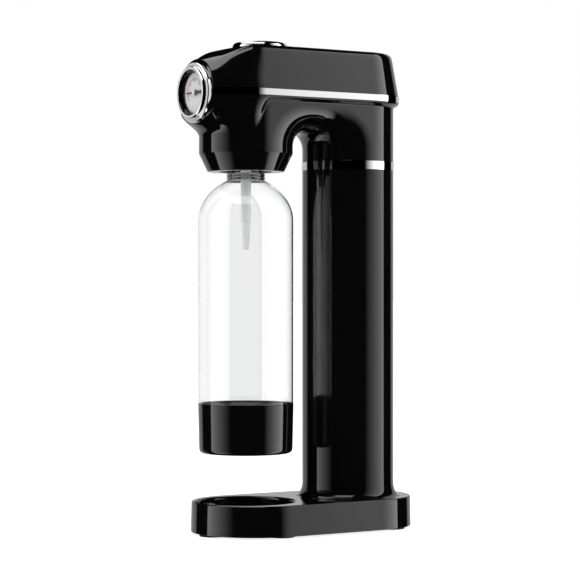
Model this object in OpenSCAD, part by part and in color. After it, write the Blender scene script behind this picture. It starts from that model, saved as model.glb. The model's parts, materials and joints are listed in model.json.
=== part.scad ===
// Sparkling water maker: a stand with a gas column, a head with a pressure gauge and a
// push button, and a clear bottle that hangs under the head. Millimetres, +Z up, X = 0 is the
// plane of symmetry, the gauge faces -Y and Z = 0 is the table.

/* [Base] */
// Radius of the base's round ends, half its width
base_r = 58.2; // [57:0.1:62]
// Height of the base above its feet
base_h = 27.7; // [25:0.1:34]
// How much wider the base is at its lower edge, each side
base_draft = 0.5; // [0:0.1:1]
// Rounding of the base's upper edge
base_edge = 1.2; // [0.6:0.1:2]
// Wall of the base shell
base_wall = 2.6; // [2:0.1:3.2]
// Thickness of the base's top
base_top = 3; // [2.4:0.1:4]
// Centre of the base's front arc, behind the bottle axis
base_setback = 10.2; // [9.6:0.1:14]
// Radius of the recess under the bottle
recess_r = 45.9; // [44.5:0.1:46.2]
// Depth of the recess
recess_d = 14; // [8:0.5:15]
// Wall of the recess
recess_wall = 1.6; // [1.2:0.1:1.7]
// Thickness of the bottom plate
plate_t = 3; // [2.6:0.1:4]
// Radius of a foot
foot_r = 12; // [8:0.5:13]
// Height of a foot
foot_h = 2; // [1.5:0.1:4]

/* [Column] */
// Distance from the bottle axis to the column axis
axis_gap = 111.5; // [108:0.5:120]
// Outer radius of the column
column_r = 42.5; // [41.5:0.1:43.5]
// Wall of the column
column_wall = 3; // [2.4:0.1:3.6]
// Length of the column, from the base to the bright ring
column_h = 303.1; // [300:0.1:330]
// Radius of the hollow curve at the column's foot
foot_flare = 6.5; // [6:0.5:12]
// Height of the bright ring
ring_h = 7.7; // [6:0.1:10]
// How far the bright ring stands proud
ring_proud = 0.4; // [0.2:0.1:1]

/* [Head] */
// Outer radius of the collar over the bottle
collar_r = 42.5; // [41.5:0.1:43.5]
// Outer radius of the collar's lower rim
collar_rim_r = 34.7; // [31:0.1:37]
// Height of the collar's cone
collar_cone = 16.3; // [12:0.1:20]
// How far the collar hangs below the top of the bright ring
collar_drop = 12.8; // [10:0.1:14]
// Opening in the collar's lower rim
collar_mouth_r = 24; // [23.6:0.1:26]
// Height of the lower shell, from the top of the bright ring
lower_h = 53.7; // [53:0.1:60]
// Half width of the head at the bright strip
head_w = 47.3; // [46:0.1:48]
// Height of the flare under the strip
shoulder_h = 6.5; // [6.4:0.1:9]
// Height of the bright strip
strip_h = 5.6; // [4:0.1:8]
// How far the strip stands proud
strip_proud = 0.5; // [0.2:0.1:1]
// Height of the cover above the strip
cover_h = 40.2; // [40:0.1:46]
// Half width of the cover at its top
cover_w = 40.5; // [38:0.1:41]
// Depth of the arch's section over its middle
arch_flare = 23.5; // [18:0.5:23.5]
// Sharpness of the cover's upper edge
edge_power = 20; // [12:1:26]
// Wall of the head's shells
shell_wall = 2.6; // [2.2:0.1:3]
// Radius of the nose around the gauge
nose_r = 28; // [27.4:0.1:30]
// Reach of the nose in front of the bottle axis
nose_reach = 51.5; // [50:0.1:56]
// Where the nose has widened to the full head, in front of the bottle axis
nose_blend = 8; // [4:0.5:14]

/* [Button] */
// Distance of the button behind the bottle axis
button_back = 15; // [14.5:0.1:18]
// Outer radius of the button's ring
button_ring_r = 25; // [24.4:0.1:28]
// Height of the button's ring
button_ring_h = 6; // [4:0.1:8]
// Radius of the button's cap
button_r = 20.5; // [18:0.1:20.6]
// How far the button is pushed down
button_travel = 5; // [3:0.1:5.4]
// Turns of the return spring
spring_turns = 5; // [3:1:6]
// Wire diameter of the return spring
spring_wire = 1.4; // [1:0.1:1.6]

/* [Gauge] */
// Outer radius of the gauge's bezel
bezel_r = 27; // [26:0.1:27.3]
// Depth of the bezel
bezel_d = 7.5; // [7:0.1:9]
// Radius of the dial that shows
dial_r = 17.6; // [16:0.1:17.7]
// Length of the needle from its axis
needle_len = 14.5; // [10:0.1:15]

/* [Bottle] */
// Outer radius of the bottle
bottle_r = 43; // [40:0.1:43.4]
// Wall of the bottle
bottle_wall = 1.6; // [1.2:0.1:2.4]
// Height of the black cup at the foot of the bottle
cup_h = 45.2; // [30:0.1:60]
// Height of the bottle from its foot to its shoulder
shoulder_up = 210.5; // [180:0.1:212]
// Height of the bottle's dome
dome_h = 36; // [30:0.1:38]
// How far the dome's centre of curvature lies past the bottle axis
dome_bulge = 20; // [0:1:30]
// Radius of the bottle's neck where the dome ends
neck_top_r = 17.2; // [16.9:0.1:19]
// Radius of the bottle's mouth
mouth_r = 14.6; // [13:0.1:15]
// Depth of the bottle's thread
thread_d = 1.2; // [0.6:0.1:1.4]
// Height of the dark ring round the neck
neck_ring_h = 6.6; // [5:0.1:7]
// Length of the bottle's mouth inside the head
mouth_h = 18; // [14:0.1:18.4]
// Gap between the ring round the bottle's neck and the collar's lower rim
neck_show = 1.3; // [1:0.1:3]
// How far the nozzle reaches below the collar
nozzle_len = 70; // [50:0.5:76]
// Radius of the nozzle at its top
nozzle_r = 4.7; // [4:0.1:5]
// Radius of the nozzle at its tip
nozzle_tip_r = 3; // [2.4:0.1:3.6]

/* [Gas] */
// Radius of the gas cylinder
gas_r = 30; // [28:0.1:30.2]
// How far below the column's top the gas cylinder's shoulder begins
gas_drop = 37.8; // [37:0.1:60]
// Radius of the cylinder valve's thread
valve_thread_r = 10.9; // [9:0.1:11]
// Radius of the valve pin
pin_r = 2; // [1.5:0.1:2.2]
// Radius of the gas pipe
pipe_r = 3; // [2:0.1:3.4]

/* [Lever] */
// Thickness of the lever
lever_t = 10; // [8:0.1:10.4]
// Half width of the lever
lever_w = 5; // [4:0.1:5.6]
// Distance of the lever's pin behind the column axis
lever_back = 22; // [21:0.1:24]
// Radius of the lever's pin
lever_pin_r = 2.5; // [2:0.1:3]

/* [Fits] */
// Gap between pieces that move past each other
gap = 0.3; // [0.2:0.05:0.4]
// Radial clearance of a pin or a shaft in its bore
run_fit = 0.05; // [0.03:0.01:0.08]
// Radius of a screw's shank
screw_r = 1.5; // [1.2:0.1:1.7]
// Radius of a screw's head
screw_head_r = 2.8; // [2.4:0.1:3]
// Height of a screw's head
screw_head_h = 2; // [1.4:0.1:2.2]

/* [Hidden] */
$fn = 96;
// Smallest step past a face that a cut needs
cut = 1;

// Plan: the box of the whole object is centred on Y = 0
front_reach = nose_reach + bezel_d;
rear_reach = axis_gap + base_r + base_draft;
bottle_y = (front_reach - rear_reach) / 2;
column_y = bottle_y + axis_gap;
arch_y = bottle_y + axis_gap / 2;
base_front_y = bottle_y + base_setback;
nose_y = bottle_y - nose_reach;
blend_y = bottle_y - nose_blend;
button_y = bottle_y + button_back;

// Heights of the stand
base_z = foot_h;
base_top_z = base_z + base_h;
plate_top_z = base_z + plate_t;
recess_z = base_top_z - recess_d;
column_top_z = base_top_z + column_h;
ring_top_z = column_top_z + ring_h;
column_in_r = column_r - column_wall;

// Heights of the head
collar_z = ring_top_z - collar_drop;
arch_z = ring_top_z + 10;
strip_z = ring_top_z + lower_h;
strip_top_z = strip_z + strip_h;
gauge_z = (strip_z + strip_top_z) / 2;
cover_z = strip_top_z + cover_h;
cover_taper = (head_w - cover_w) / cover_h;
lower_taper = (head_w - collar_r) / shoulder_h;
neck_in_r = collar_r - shell_wall;
nose_depth = 25.7;
frame_t = 4;
frame_z = strip_z - 14.2;
frame_top_z = frame_z + frame_t;

// Screws and their posts
pilot_r = screw_r + run_fit;
screw_free_r = screw_r + 0.2;
post_r = screw_r + 3.2;
post_ring_r = neck_in_r - 3.9;
post_turn = 20;
tab_z = strip_z - 4.2;
cover_post_x = neck_in_r - 2.9;
cover_post_y = [bottle_y + 8, column_y - 8];
column_screw_r = gas_r + 6;
base_boss_r = screw_r + 2.5;
base_boss_x = base_r - base_wall - base_boss_r - 3.4;
base_bosses = [
    [-base_boss_x, bottle_y + 42],
    [base_boss_x, bottle_y + 42],
    [-base_boss_x, column_y],
    [base_boss_x, column_y],
    [0, column_y + base_boss_x]
];
foot_places = [
    [0, bottle_y - base_r + base_setback + foot_r + 1.2],
    [-base_r + foot_r + 8, bottle_y + 13.7],
    [base_r - foot_r - 8, bottle_y + 13.7],
    [-base_r + foot_r + 10, column_y + 24.5],
    [base_r - foot_r - 10, column_y + 24.5]
];

// Hatch under the gas cylinder
hatch_r = gas_r + 4;
hatch_lug = 3.5;
hatch_lug_w = 10;
hatch_turn = 45;

// Bottle
mouth_z = collar_z - neck_show;
mouth_top_z = mouth_z + mouth_h;
neck_ring_z = mouth_z - neck_ring_h;
dome_top_z = neck_ring_z;
dome_z = dome_top_z - dome_h;
bottle_z = dome_z - shoulder_up;
bottle_in_r = bottle_r - bottle_wall;
dome_turn = acos((neck_top_r + dome_bulge) / (bottle_r + dome_bulge));
cup_wall = 1.2;
cup_r = bottle_r + 0.3;
cup_draft = 1;
cup_low_in_r = cup_r - cup_draft - cup_wall;
foot_in_r = cup_low_in_r - gap;
mouth_in_r = mouth_r - bottle_wall - 0.4;

// Adaptor that the bottle screws into
socket_r = mouth_r + thread_d + 0.6;
adaptor_r = collar_mouth_r - 1;
adaptor_z = collar_z + 1.8;
seal_t = 3;
seal_z = mouth_top_z + gap;
seal_top_z = seal_z + seal_t;
boss_r = 8;
adaptor_top_z = gauge_z + 6;
nut_h = 5;
nut_r = boss_r + 5;
nozzle_z = collar_z - nozzle_len;
nozzle_top_z = seal_top_z + 14;
pipe_z = frame_z - pipe_r - 2;
relief_r = 6.5;
relief_h = 12;
relief_pin_r = 1.8;
relief_travel = 1.5;

// Gas cylinder and its valve
gas_lift = 7;
gas_z = plate_top_z + gas_lift;
gas_body_z = column_top_z - gas_drop;
gas_neck_r = 13;
gas_shoulder_h = 27;
gas_neck_z = gas_body_z + gas_shoulder_h;
gas_neck_h = 12;
gas_top_z = gas_neck_z + gas_neck_h;
gas_wall = 2.5;
gas_bore_r = 7.8;
valve_hex_h = 14;
valve_z = gas_top_z + valve_hex_h;
valve_h = 21.7;
valve_top_z = valve_z + valve_h;
block_r = 17;
block_z = valve_z + 4;
valve_seal_t = 2;
socket_top_z = valve_top_z + gap + valve_seal_t;
block_top_z = frame_top_z + 16;
core_top_z = valve_top_z - 1.5;
core_h = 12;

// Lever over the valve pin
lever_z = frame_top_z + 25;
lever_top_z = lever_z + lever_t;
lever_pin_z = lever_z + lever_t / 2;
lever_pin_y = column_y + lever_back;
ear_t = 3;
ear_x = lever_w + 1.5;

// Button
cover_in_z = cover_z - shell_wall;
housing_r = button_r + 1.8;
housing_wall = 1.4;
housing_floor_z = lever_top_z + 6;
housing_floor_t = 2.5;
housing_flange = 3;
housing_flange_t = 2.5;
housing_flange_gap = 0.5;
button_top_z = cover_z + button_ring_h + 0.4;
button_skirt_z = cover_z - 5;
button_shell = 2.4;
stem_r = 3.5;
stem_top_z = button_top_z - button_shell - 3;
spring_r = 9;

// Gauge
case_r = nose_r - 3.3;
case_wall = 2;
case_depth = 18.5;
case_back_y = nose_y + case_depth;
gauge_hole_r = case_r + gap;
dial_t = 1;
dial_y = nose_y - 1.4;
lens_r = dial_r + 2.1;
lens_t = 1.5;
lens_y = nose_y - 5.6;
needle_t = 0.8;
needle_y = dial_y - 0.8;
shaft_r = 1;
stem_block_y = nose_y + 8;
bourdon_r = 14;
bourdon_tube = 1.8;

// Points of an ellipse's arc from angle a0 to angle a1
function arc(cx, cy, rx, ry, a0, a1, n) =
    [for (i = [0:n]) let (a = a0 + (a1 - a0) * i / n) [cx + rx * cos(a), cy + ry * sin(a)]];

// A half section closed on its own mirror image
function mirrored(half) =
    concat(half, [for (i = [len(half) - 1:-1:0]) [-half[i][0], half[i][1]]]);

// A half section carried round the end of a plan with straight sides, toward +Y
module round_end(half, y) {
    translate([0, y, 0])
        rotate_extrude(angle = 180)
            polygon(half);
}

// The same section carried straight from y0 to y1
module straight_run(half, y0, y1) {
    translate([0, y1, 0])
        rotate([90, 0, 0])
            linear_extrude(y1 - y0)
                polygon(mirrored(half));
}

// A solid with two round ends
module oblong(half, y0, y1) {
    round_end(half, y1);
    straight_run(half, y0, y1);
    mirror([0, 1, 0])
        round_end(half, -y0);
}

// A bar along Y between two places, round in section
module bar_y(r, y0, y1, z) {
    translate([0, y1, z])
        rotate([90, 0, 0])
            cylinder(r = r, h = y1 - y0);
}

// A bar along X, centred
module bar_x(r, length, y, z) {
    translate([0, y, z])
        rotate([0, 90, 0])
            cylinder(r = r, h = length, center = true);
}

// A screw with its head down and its tip up, or the other way round
module screw(z, length, up = true) {
    translate([0, 0, z])
        mirror([0, 0, up ? 0 : 1])
            union() {
                cylinder(r = screw_head_r, h = screw_head_h);
                cylinder(r = screw_r, h = length);
            }
}

module hex_nut(r, bore, z, h) {
    translate([0, 0, z])
        difference() {
            cylinder(r = r, h = h, $fn = 6);
            translate([0, 0, -cut])
                cylinder(r = bore, h = h + 2 * cut);
        }
}

// Polar radius of a section with a sloping side and a flat top, its corner rounded
function section_r(a, w, taper, h) =
    let (side = w / (cos(a) + taper * sin(a)), top = h / max(sin(a), 0.02))
    pow(pow(side, -edge_power) + pow(top, -edge_power), -1 / edge_power);

// Half section of the head's cover, from the strip to the middle of the top
function cover_half(inset) = concat(
    [[0, strip_top_z - (inset > 0 ? cut : 0)]],
    [[head_w - inset, strip_top_z - (inset > 0 ? cut : 0)]],
    [for (a = [0:7.5:90]) let (r = section_r(a, head_w - inset, cover_taper, cover_h - inset))
        [a == 90 ? 0 : r * cos(a), strip_top_z + r * sin(a)]]
);

// One ring of the nose: an ellipse about the gauge that turns into the head's section.
// u runs from the gauge to the full head, and side is 1 above the strip, -1 below it.
nose_steps = 7;
nose_angles = 24;
function nose_y_at(u, inset) = nose_y + inset + (blend_y - nose_y - inset) * u;
function nose_wide(u) = 1 - pow(1 - u, 2);
function nose_high(u) = 0.15 + 0.85 * (1 - pow(1 - pow(u, 1.2), 1.8));
function nose_half(u, inset) =
    (nose_r - inset) * (1 - nose_wide(u)) + (head_w - inset) * nose_wide(u);
function nose_ring(u, inset, side, z, h, taper) =
    [for (i = [0:nose_angles])
        let (a = 180 * i / nose_angles,
             b = a > 90 ? 180 - a : a,
             r = section_r(b, head_w - inset, taper, h - inset),
             x = nose_half(u, inset) / (head_w - inset) * r * cos(b) * nose_wide(u)
                 + (1 - nose_wide(u)) * nose_half(u, inset) * cos(b),
             up = (1 - nose_high(u)) * (nose_r - strip_h / 2 - inset) * sin(b)
                 + nose_high(u) * r * sin(b))
        [a > 90 ? -x : x, nose_y_at(u, inset), z + side * up]];

// The nose as one closed solid over its rings
module nose(inset, side, z, h, taper) {
    ring = nose_angles + 2;
    points = [for (k = [0:nose_steps]) let (u = k / nose_steps)
        each concat(nose_ring(u, inset, side, z, h, taper), [[0, nose_y_at(u, inset), z]])];
    middle = ring - 1;
    last = nose_steps * ring;
    skin = [for (k = [0:nose_steps - 1], i = [0:ring - 1])
        let (j = (i + 1) % ring, p = k * ring)
        each [[p + i, p + j, p + ring + i], [p + j, p + ring + j, p + ring + i]]];
    front = [for (i = [0:nose_angles - 1]) [middle, i + 1, i]];
    back = [for (i = [0:nose_angles - 1]) [last + middle, last + i, last + i + 1]];
    faces = concat(skin, front, back);
    polyhedron(points, side < 0 ? [for (f = faces) [f[2], f[1], f[0]]] : faces);
}

// The space of the cover, grown inwards by inset
module cover_space(inset) {
    round_end(cover_half(inset), column_y);
    straight_run(cover_half(inset), blend_y, column_y);
    nose(inset, 1, strip_top_z, cover_h, cover_taper);
}

// The hollow under the head's bridge, swept from the collar over the arch to the neck. Its
// section is round at the collar and the neck, of radius r, and flatter on top.
arch_steps = 14;
arch_angles = 16;
arch_step = 0.3;
function arch_depth(t, r) = arch_flare + (r - arch_flare) * pow(cos(t), 2);
function arch_ring(t, drop, r) =
    [for (i = [0:arch_angles])
        let (f = 180 * i / arch_angles - 90,
             out = axis_gap / 2 - r + arch_step + arch_depth(t, r) * (1 - cos(f)))
        [(r + 0.2) * sin(f), arch_y - out * cos(t), arch_z + out * sin(t) - drop]];

module arch_hollow(r) {
    ring = arch_angles + 1;
    rings = concat(
        [arch_ring(0, cut, r)],
        [for (k = [0:arch_steps]) arch_ring(180 * k / arch_steps, 0, r)],
        [arch_ring(180, cut, r)]
    );
    last = len(rings) - 1;
    skin = [for (k = [0:last - 1], i = [0:arch_angles - 1])
        let (p = k * ring + i, q = p + ring)
        each [[p, q, p + 1], [p + 1, q, q + 1]]];
    sides = [for (k = [1:last - 1])
        each [[0, (k + 1) * ring, k * ring],
              [arch_angles, k * ring + arch_angles, (k + 1) * ring + arch_angles]]];
    under = [for (i = [0:arch_angles - 1])
        let (q = last * ring + i)
        each [[i, i + 1, q], [i + 1, q + 1, q]]];
    polyhedron([for (one = rings) each one], concat(skin, sides, under));
}

// The bridge between collar and neck, above the arch
module bridge(r, z1) {
    difference() {
        translate([0, 0, arch_z])
            linear_extrude(z1 - arch_z)
                union() {
                    translate([0, bottle_y])
                        circle(r);
                    translate([0, column_y])
                        circle(r);
                    translate([-r, bottle_y])
                        square([2 * r, axis_gap]);
                }
        arch_hollow(r);
    }
}

module base_shell() {
    outer = concat(
        [[0, base_z], [base_r + base_draft, base_z]],
        arc(base_r - base_edge, base_top_z - base_edge, base_edge, base_edge, 0, 90, 4),
        [[0, base_top_z]]
    );
    inner = [
        [0, base_z - cut],
        [base_r - base_wall, base_z - cut],
        [base_r - base_wall, base_top_z - base_top],
        [0, base_top_z - base_top]
    ];
    color("#141517")
        difference() {
            union() {
                difference() {
                    oblong(outer, base_front_y, column_y);
                    oblong(inner, base_front_y, column_y);
                }
                translate([0, bottle_y, recess_z - recess_wall])
                    cylinder(r = recess_r + recess_wall, h = recess_d + recess_wall - 0.2);
                for (p = base_bosses)
                    translate([p[0], p[1], plate_top_z])
                        cylinder(r = base_boss_r, h = base_top_z - plate_top_z - base_top / 2);
            }
            translate([0, bottle_y, recess_z])
                cylinder(r = recess_r, h = recess_d + cut);
            translate([0, column_y, base_top_z - base_top - cut])
                cylinder(r = gas_r + 1.2, h = base_top + 2 * cut);
            for (p = base_bosses)
                translate([p[0], p[1], plate_top_z - cut])
                    cylinder(r = pilot_r, h = 12 + cut);
            for (a = [45:90:315])
                translate([0, column_y, base_top_z - base_top - cut])
                    rotate(a)
                        translate([column_screw_r, 0, 0])
                            cylinder(r = screw_free_r, h = base_top + 2 * cut);
        }
}

module base_plate() {
    rim = base_r - base_wall - 0.3;
    color("#222326")
        difference() {
            oblong([[0, base_z], [rim, base_z], [rim, plate_top_z], [0, plate_top_z]],
                base_front_y, column_y);
            translate([0, column_y, base_z - cut])
                cylinder(r = hatch_r + gap, h = plate_t + 2 * cut);
            for (a = [0:120:240])
                translate([0, column_y, base_z - cut])
                    rotate(a + hatch_turn)
                        translate([0, -hatch_lug_w / 2 - 2 * gap, 0])
                            cube([
                                hatch_r + hatch_lug + 2 * gap,
                                hatch_lug_w + 4 * gap,
                                plate_t + 2 * cut
                            ]);
            for (p = base_bosses)
                translate([p[0], p[1], base_z - cut]) {
                    cylinder(r = screw_free_r, h = plate_t + 2 * cut);
                    cylinder(r = screw_head_r + gap, h = screw_head_h / 2 + cut);
                }
        }
}

module base_screws() {
    color("#8d8f92")
        for (p = base_bosses)
            translate([p[0], p[1], base_z + screw_head_h / 2])
                mirror([0, 0, 1]) {
                    cylinder(r = screw_head_r, h = screw_head_h / 2);
                    mirror([0, 0, 1])
                        cylinder(r = screw_r, h = 11);
                }
}

module feet() {
    color("#1d1d1e")
        for (p = foot_places)
            translate([p[0], p[1], 0])
                cylinder(r = foot_r, h = foot_h);
}

module cylinder_hatch() {
    lid_t = plate_t - 2 * gap;
    lug_z = plate_top_z + gap;
    color("#26272a")
        translate([0, column_y, 0])
            difference() {
                union() {
                    translate([0, 0, base_z + gap])
                        cylinder(r = hatch_r, h = lid_t);
                    translate([0, 0, base_z + gap + lid_t / 2])
                        cylinder(r = hatch_r - 1, h = plate_t / 2 + 2.4);
                    for (a = [0:120:240])
                        rotate(a)
                            translate([0, -hatch_lug_w / 2, lug_z])
                                cube([hatch_r + hatch_lug, hatch_lug_w, 2]);
                }
                translate([0, 0, base_z + gap + lid_t])
                    cylinder(r = hatch_r - 4, h = plate_t + 4);
                for (side = [-1, 1])
                    translate([side * 9 - 5, -14, base_z - cut])
                        cube([10, 28, gap + cut + lid_t / 2]);
            }
}

module column_tube() {
    lip = 0.8;
    boss_h = 15;
    color("#121315")
        translate([0, column_y, base_top_z])
            difference() {
                union() {
                    rotate_extrude()
                        union() {
                            translate([column_in_r, 0])
                                square([column_wall, column_h]);
                            difference() {
                                translate([column_r - 0.5, 0])
                                    square([foot_flare + 0.5, foot_flare + lip]);
                                translate([column_r + foot_flare, foot_flare + lip])
                                    circle(foot_flare);
                            }
                        }
                    for (a = [45:90:315])
                        rotate(a)
                            translate([column_screw_r, 0, 0])
                                cylinder(r = screw_r + 2.7, h = boss_h);
                }
                for (a = [45:90:315])
                    rotate(a)
                        translate([column_screw_r, 0, -cut])
                            cylinder(r = pilot_r, h = 11 + cut);
            }
}

module column_screws() {
    color("#8d8f92")
        for (a = [45:90:315])
            translate([0, column_y, 0])
                rotate(a)
                    translate([column_screw_r, 0, 0])
                        screw(base_top_z - base_top - screw_head_h, 14);
}

module column_ring() {
    sleeve = 12;
    color("#d8dadd")
        translate([0, column_y, 0])
            difference() {
                union() {
                    translate([0, 0, column_top_z])
                        cylinder(r = column_r + ring_proud, h = ring_h);
                    translate([0, 0, column_top_z - sleeve])
                        cylinder(r = column_in_r - 2 * run_fit, h = ring_h + sleeve + 8);
                }
                translate([0, 0, column_top_z - sleeve - cut])
                    cylinder(r = column_in_r - 3, h = ring_h + 2 * sleeve + 2 * cut);
            }
}

module guide_rings() {
    color("#5d6064")
        for (up = [0.3, 0.8])
            translate([0, column_y, base_top_z + column_h * up])
                difference() {
                    cylinder(r = column_in_r - run_fit, h = 8);
                    translate([0, 0, -cut])
                        cylinder(r = gas_r + 2 * gap, h = 8 + 2 * cut);
                }
}

// The frame's posts stand on the inside of the collar and the neck
module at_frame_posts() {
    for (side = [-1, 1]) {
        translate([side * post_ring_r * cos(post_turn), bottle_y - post_ring_r * sin(post_turn), 0])
            children();
        translate([side * post_ring_r * cos(post_turn), column_y + post_ring_r * sin(post_turn), 0])
            children();
    }
}

module at_cover_posts() {
    for (side = [-1, 1], y = cover_post_y)
        translate([side * cover_post_x, y, 0])
            children();
}

module head_lower() {
    rear_lip = [
        [collar_r - 1, strip_z - shoulder_h],
        [collar_r, strip_z - shoulder_h],
        [head_w, strip_z],
        [collar_r - 1, strip_z]
    ];
    color("#131416")
        difference() {
            union() {
                difference() {
                    union() {
                        translate([0, bottle_y, 0])
                            rotate_extrude()
                                polygon([
                                    [0, collar_z],
                                    [collar_rim_r, collar_z],
                                    [collar_r, collar_z + collar_cone],
                                    [collar_r, arch_z],
                                    [0, arch_z]
                                ]);
                        translate([0, column_y, ring_top_z])
                            cylinder(r = collar_r, h = arch_z - ring_top_z);
                        bridge(collar_r, strip_z);
                        round_end(rear_lip, column_y);
                        for (side = [0, 1])
                            mirror([side, 0, 0])
                                translate([0, column_y, 0])
                                    rotate([90, 0, 0])
                                        linear_extrude(column_y - blend_y)
                                            polygon(rear_lip);
                        nose(0, -1, strip_z, nose_depth, lower_taper);
                    }
                    union() {
                        translate([0, bottle_y, 0])
                            rotate_extrude()
                                polygon([
                                    [0, collar_z + shell_wall],
                                    [collar_rim_r - shell_wall / 2, collar_z + shell_wall],
                                    [neck_in_r, collar_z + collar_cone + shell_wall / 2],
                                    [neck_in_r, arch_z],
                                    [0, arch_z]
                                ]);
                        translate([0, column_y, ring_top_z - cut])
                            cylinder(r = neck_in_r, h = arch_z - ring_top_z + cut);
                        bridge(neck_in_r, strip_z + cut);
                        nose(shell_wall, -1, strip_z + gap, nose_depth, lower_taper);
                    }
                    translate([0, bottle_y, collar_z - cut])
                        cylinder(r = collar_mouth_r, h = shell_wall + 2 * cut);
                }
                at_frame_posts()
                    translate([0, 0, arch_z])
                        cylinder(r = post_r, h = frame_z - arch_z);
                at_cover_posts()
                    translate([-post_r, -post_r, tab_z])
                        cube([2 * post_r, 2 * post_r, strip_z - tab_z]);
            }
            bar_y(gauge_hole_r, nose_y - cut, nose_y + case_depth, gauge_z);
            at_frame_posts()
                translate([0, 0, frame_z - 12])
                    cylinder(r = pilot_r, h = 12 + cut);
            at_cover_posts()
                translate([0, 0, tab_z - cut])
                    cylinder(r = screw_free_r, h = strip_z - tab_z + 2 * cut);
        }
}

module head_upper() {
    post_h = cover_h - 8;
    color("#131416")
        difference() {
            union() {
                difference() {
                    cover_space(0);
                    cover_space(shell_wall);
                }
                at_cover_posts()
                    translate([0, 0, strip_z])
                        cylinder(r = post_r - 1, h = strip_h + post_h);
            }
            bar_y(gauge_hole_r, nose_y - cut, nose_y + case_depth, gauge_z);
            translate([0, button_y, cover_in_z - cut])
                cylinder(r = housing_r + gap, h = shell_wall + 2 * cut);
            at_cover_posts()
                translate([0, 0, strip_z - cut])
                    cylinder(r = pilot_r, h = 14 + cut);
        }
}

module trim_strip() {
    depth = 3.4;
    function edge(grow) = concat(
        [for (k = [0:nose_steps]) [nose_half(k / nose_steps, 0) + grow, nose_y_at(k / nose_steps, 0)]],
        [[head_w + grow, column_y]]
    );
    module plan(grow) {
        translate([0, column_y])
            circle(head_w + grow);
        polygon(mirrored(edge(grow)));
    }
    color("#d8dadd")
        difference() {
            translate([0, 0, strip_z])
                linear_extrude(strip_h)
                    difference() {
                        plan(strip_proud);
                        plan(strip_proud - depth);
                    }
            bar_y(gauge_hole_r, nose_y - cut, nose_y + case_depth, gauge_z);
        }
}

module head_screws() {
    color("#8d8f92")
        at_cover_posts()
            screw(tab_z - screw_head_h, 16);
}

module head_frame() {
    plate_r = neck_in_r - 0.7;
    front_y = bottle_y - 30;
    color("#6a6d70")
        difference() {
            union() {
                translate([0, 0, frame_z])
                    linear_extrude(frame_t)
                        difference() {
                            union() {
                                translate([0, bottle_y])
                                    circle(plate_r);
                                translate([0, column_y])
                                    circle(plate_r);
                                translate([-20, bottle_y])
                                    square([40, axis_gap]);
                            }
                            translate([-plate_r, front_y - plate_r])
                                square([2 * plate_r, plate_r]);
                        }
                for (side = [0, 1])
                    mirror([side, 0, 0])
                        translate([ear_x, lever_pin_y - 6, frame_top_z - frame_t / 2])
                            cube([ear_t, 12, lever_pin_z + 6 - frame_top_z + frame_t / 2]);
            }
            for (y = [bottle_y, column_y])
                translate([0, y, frame_z - cut])
                    cylinder(r = boss_r + gap, h = frame_t + 2 * cut);
            at_frame_posts()
                translate([0, 0, frame_z - cut])
                    cylinder(r = screw_free_r, h = frame_t + 2 * cut);
            bar_x(lever_pin_r + run_fit, 40, lever_pin_y, lever_pin_z);
        }
}

module frame_screws() {
    color("#8d8f92")
        at_frame_posts()
            screw(frame_top_z + screw_head_h, frame_t + screw_head_h + 10, false);
}

module lever_pin() {
    color("#b9bcc0")
        union() {
            bar_x(lever_pin_r, 2 * (ear_x + ear_t) + 4, lever_pin_y, lever_pin_z);
            translate([ear_x + ear_t, lever_pin_y, lever_pin_z])
                rotate([0, 90, 0])
                    cylinder(r = lever_pin_r + 1.5, h = 2);
        }
}

module lever() {
    tip_y = button_y - stem_r - 1.5;
    heel_y = lever_pin_y + lever_pin_r + 3.5;
    color("#7d8186")
        difference() {
            translate([-lever_w, tip_y, lever_z])
                cube([2 * lever_w, heel_y - tip_y, lever_t]);
            bar_x(lever_pin_r + run_fit, 4 * lever_w, lever_pin_y, lever_pin_z);
            for (y = [button_y + 14:26:column_y - 24])
                translate([0, y, lever_z - cut])
                    cylinder(r = lever_w - 2, h = lever_t + 2 * cut);
        }
}

module button_ring() {
    top_r = button_r + 1.4;
    color("#d8dadd")
        translate([0, button_y, cover_z])
            rotate_extrude()
                polygon(concat(
                    [[button_r + gap, 0], [button_ring_r, 0], [button_ring_r, 1]],
                    arc(top_r, 1, button_ring_r - top_r, button_ring_h - 1, 15, 90, 5),
                    [[button_r + gap, button_ring_h - 0.6]]
                ));
}

module button_housing() {
    color("#2b2c2f")
        translate([0, button_y, 0])
            difference() {
                union() {
                    translate([0, 0, housing_floor_z])
                        cylinder(r = housing_r, h = cover_z - housing_floor_z);
                    translate([0, 0, cover_in_z - housing_flange_gap - housing_flange_t])
                        cylinder(r = housing_r + housing_flange, h = housing_flange_t);
                }
                translate([0, 0, housing_floor_z + housing_floor_t])
                    cylinder(r = housing_r - housing_wall, h = cover_z - housing_floor_z);
                translate([0, 0, housing_floor_z - cut])
                    cylinder(r = stem_r + run_fit, h = housing_floor_t + 2 * cut);
            }
}

module button_cap() {
    edge = 1.5;
    hollow_z = button_top_z - button_shell;
    color("#cfd2d5")
        translate([0, button_y, 0])
            difference() {
                rotate_extrude()
                    polygon(concat(
                        [[0, button_skirt_z], [button_r, button_skirt_z]],
                        arc(button_r - edge, button_top_z - edge, edge, edge, 0, 90, 4),
                        [[0, button_top_z]]
                    ));
                difference() {
                    translate([0, 0, button_skirt_z - cut])
                        cylinder(r = button_r - button_shell, h = hollow_z - button_skirt_z + cut);
                    translate([0, 0, button_skirt_z - 2 * cut])
                        cylinder(r = stem_r + 2.2, h = button_top_z - button_skirt_z);
                }
                translate([0, 0, button_skirt_z - cut])
                    cylinder(r = stem_r + run_fit, h = stem_top_z - button_skirt_z + cut + gap);
            }
}

module button_stem() {
    color("#b9bcc0")
        translate([0, button_y, lever_top_z + gap])
            cylinder(r = stem_r, h = stem_top_z - lever_top_z - gap);
}

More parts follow.
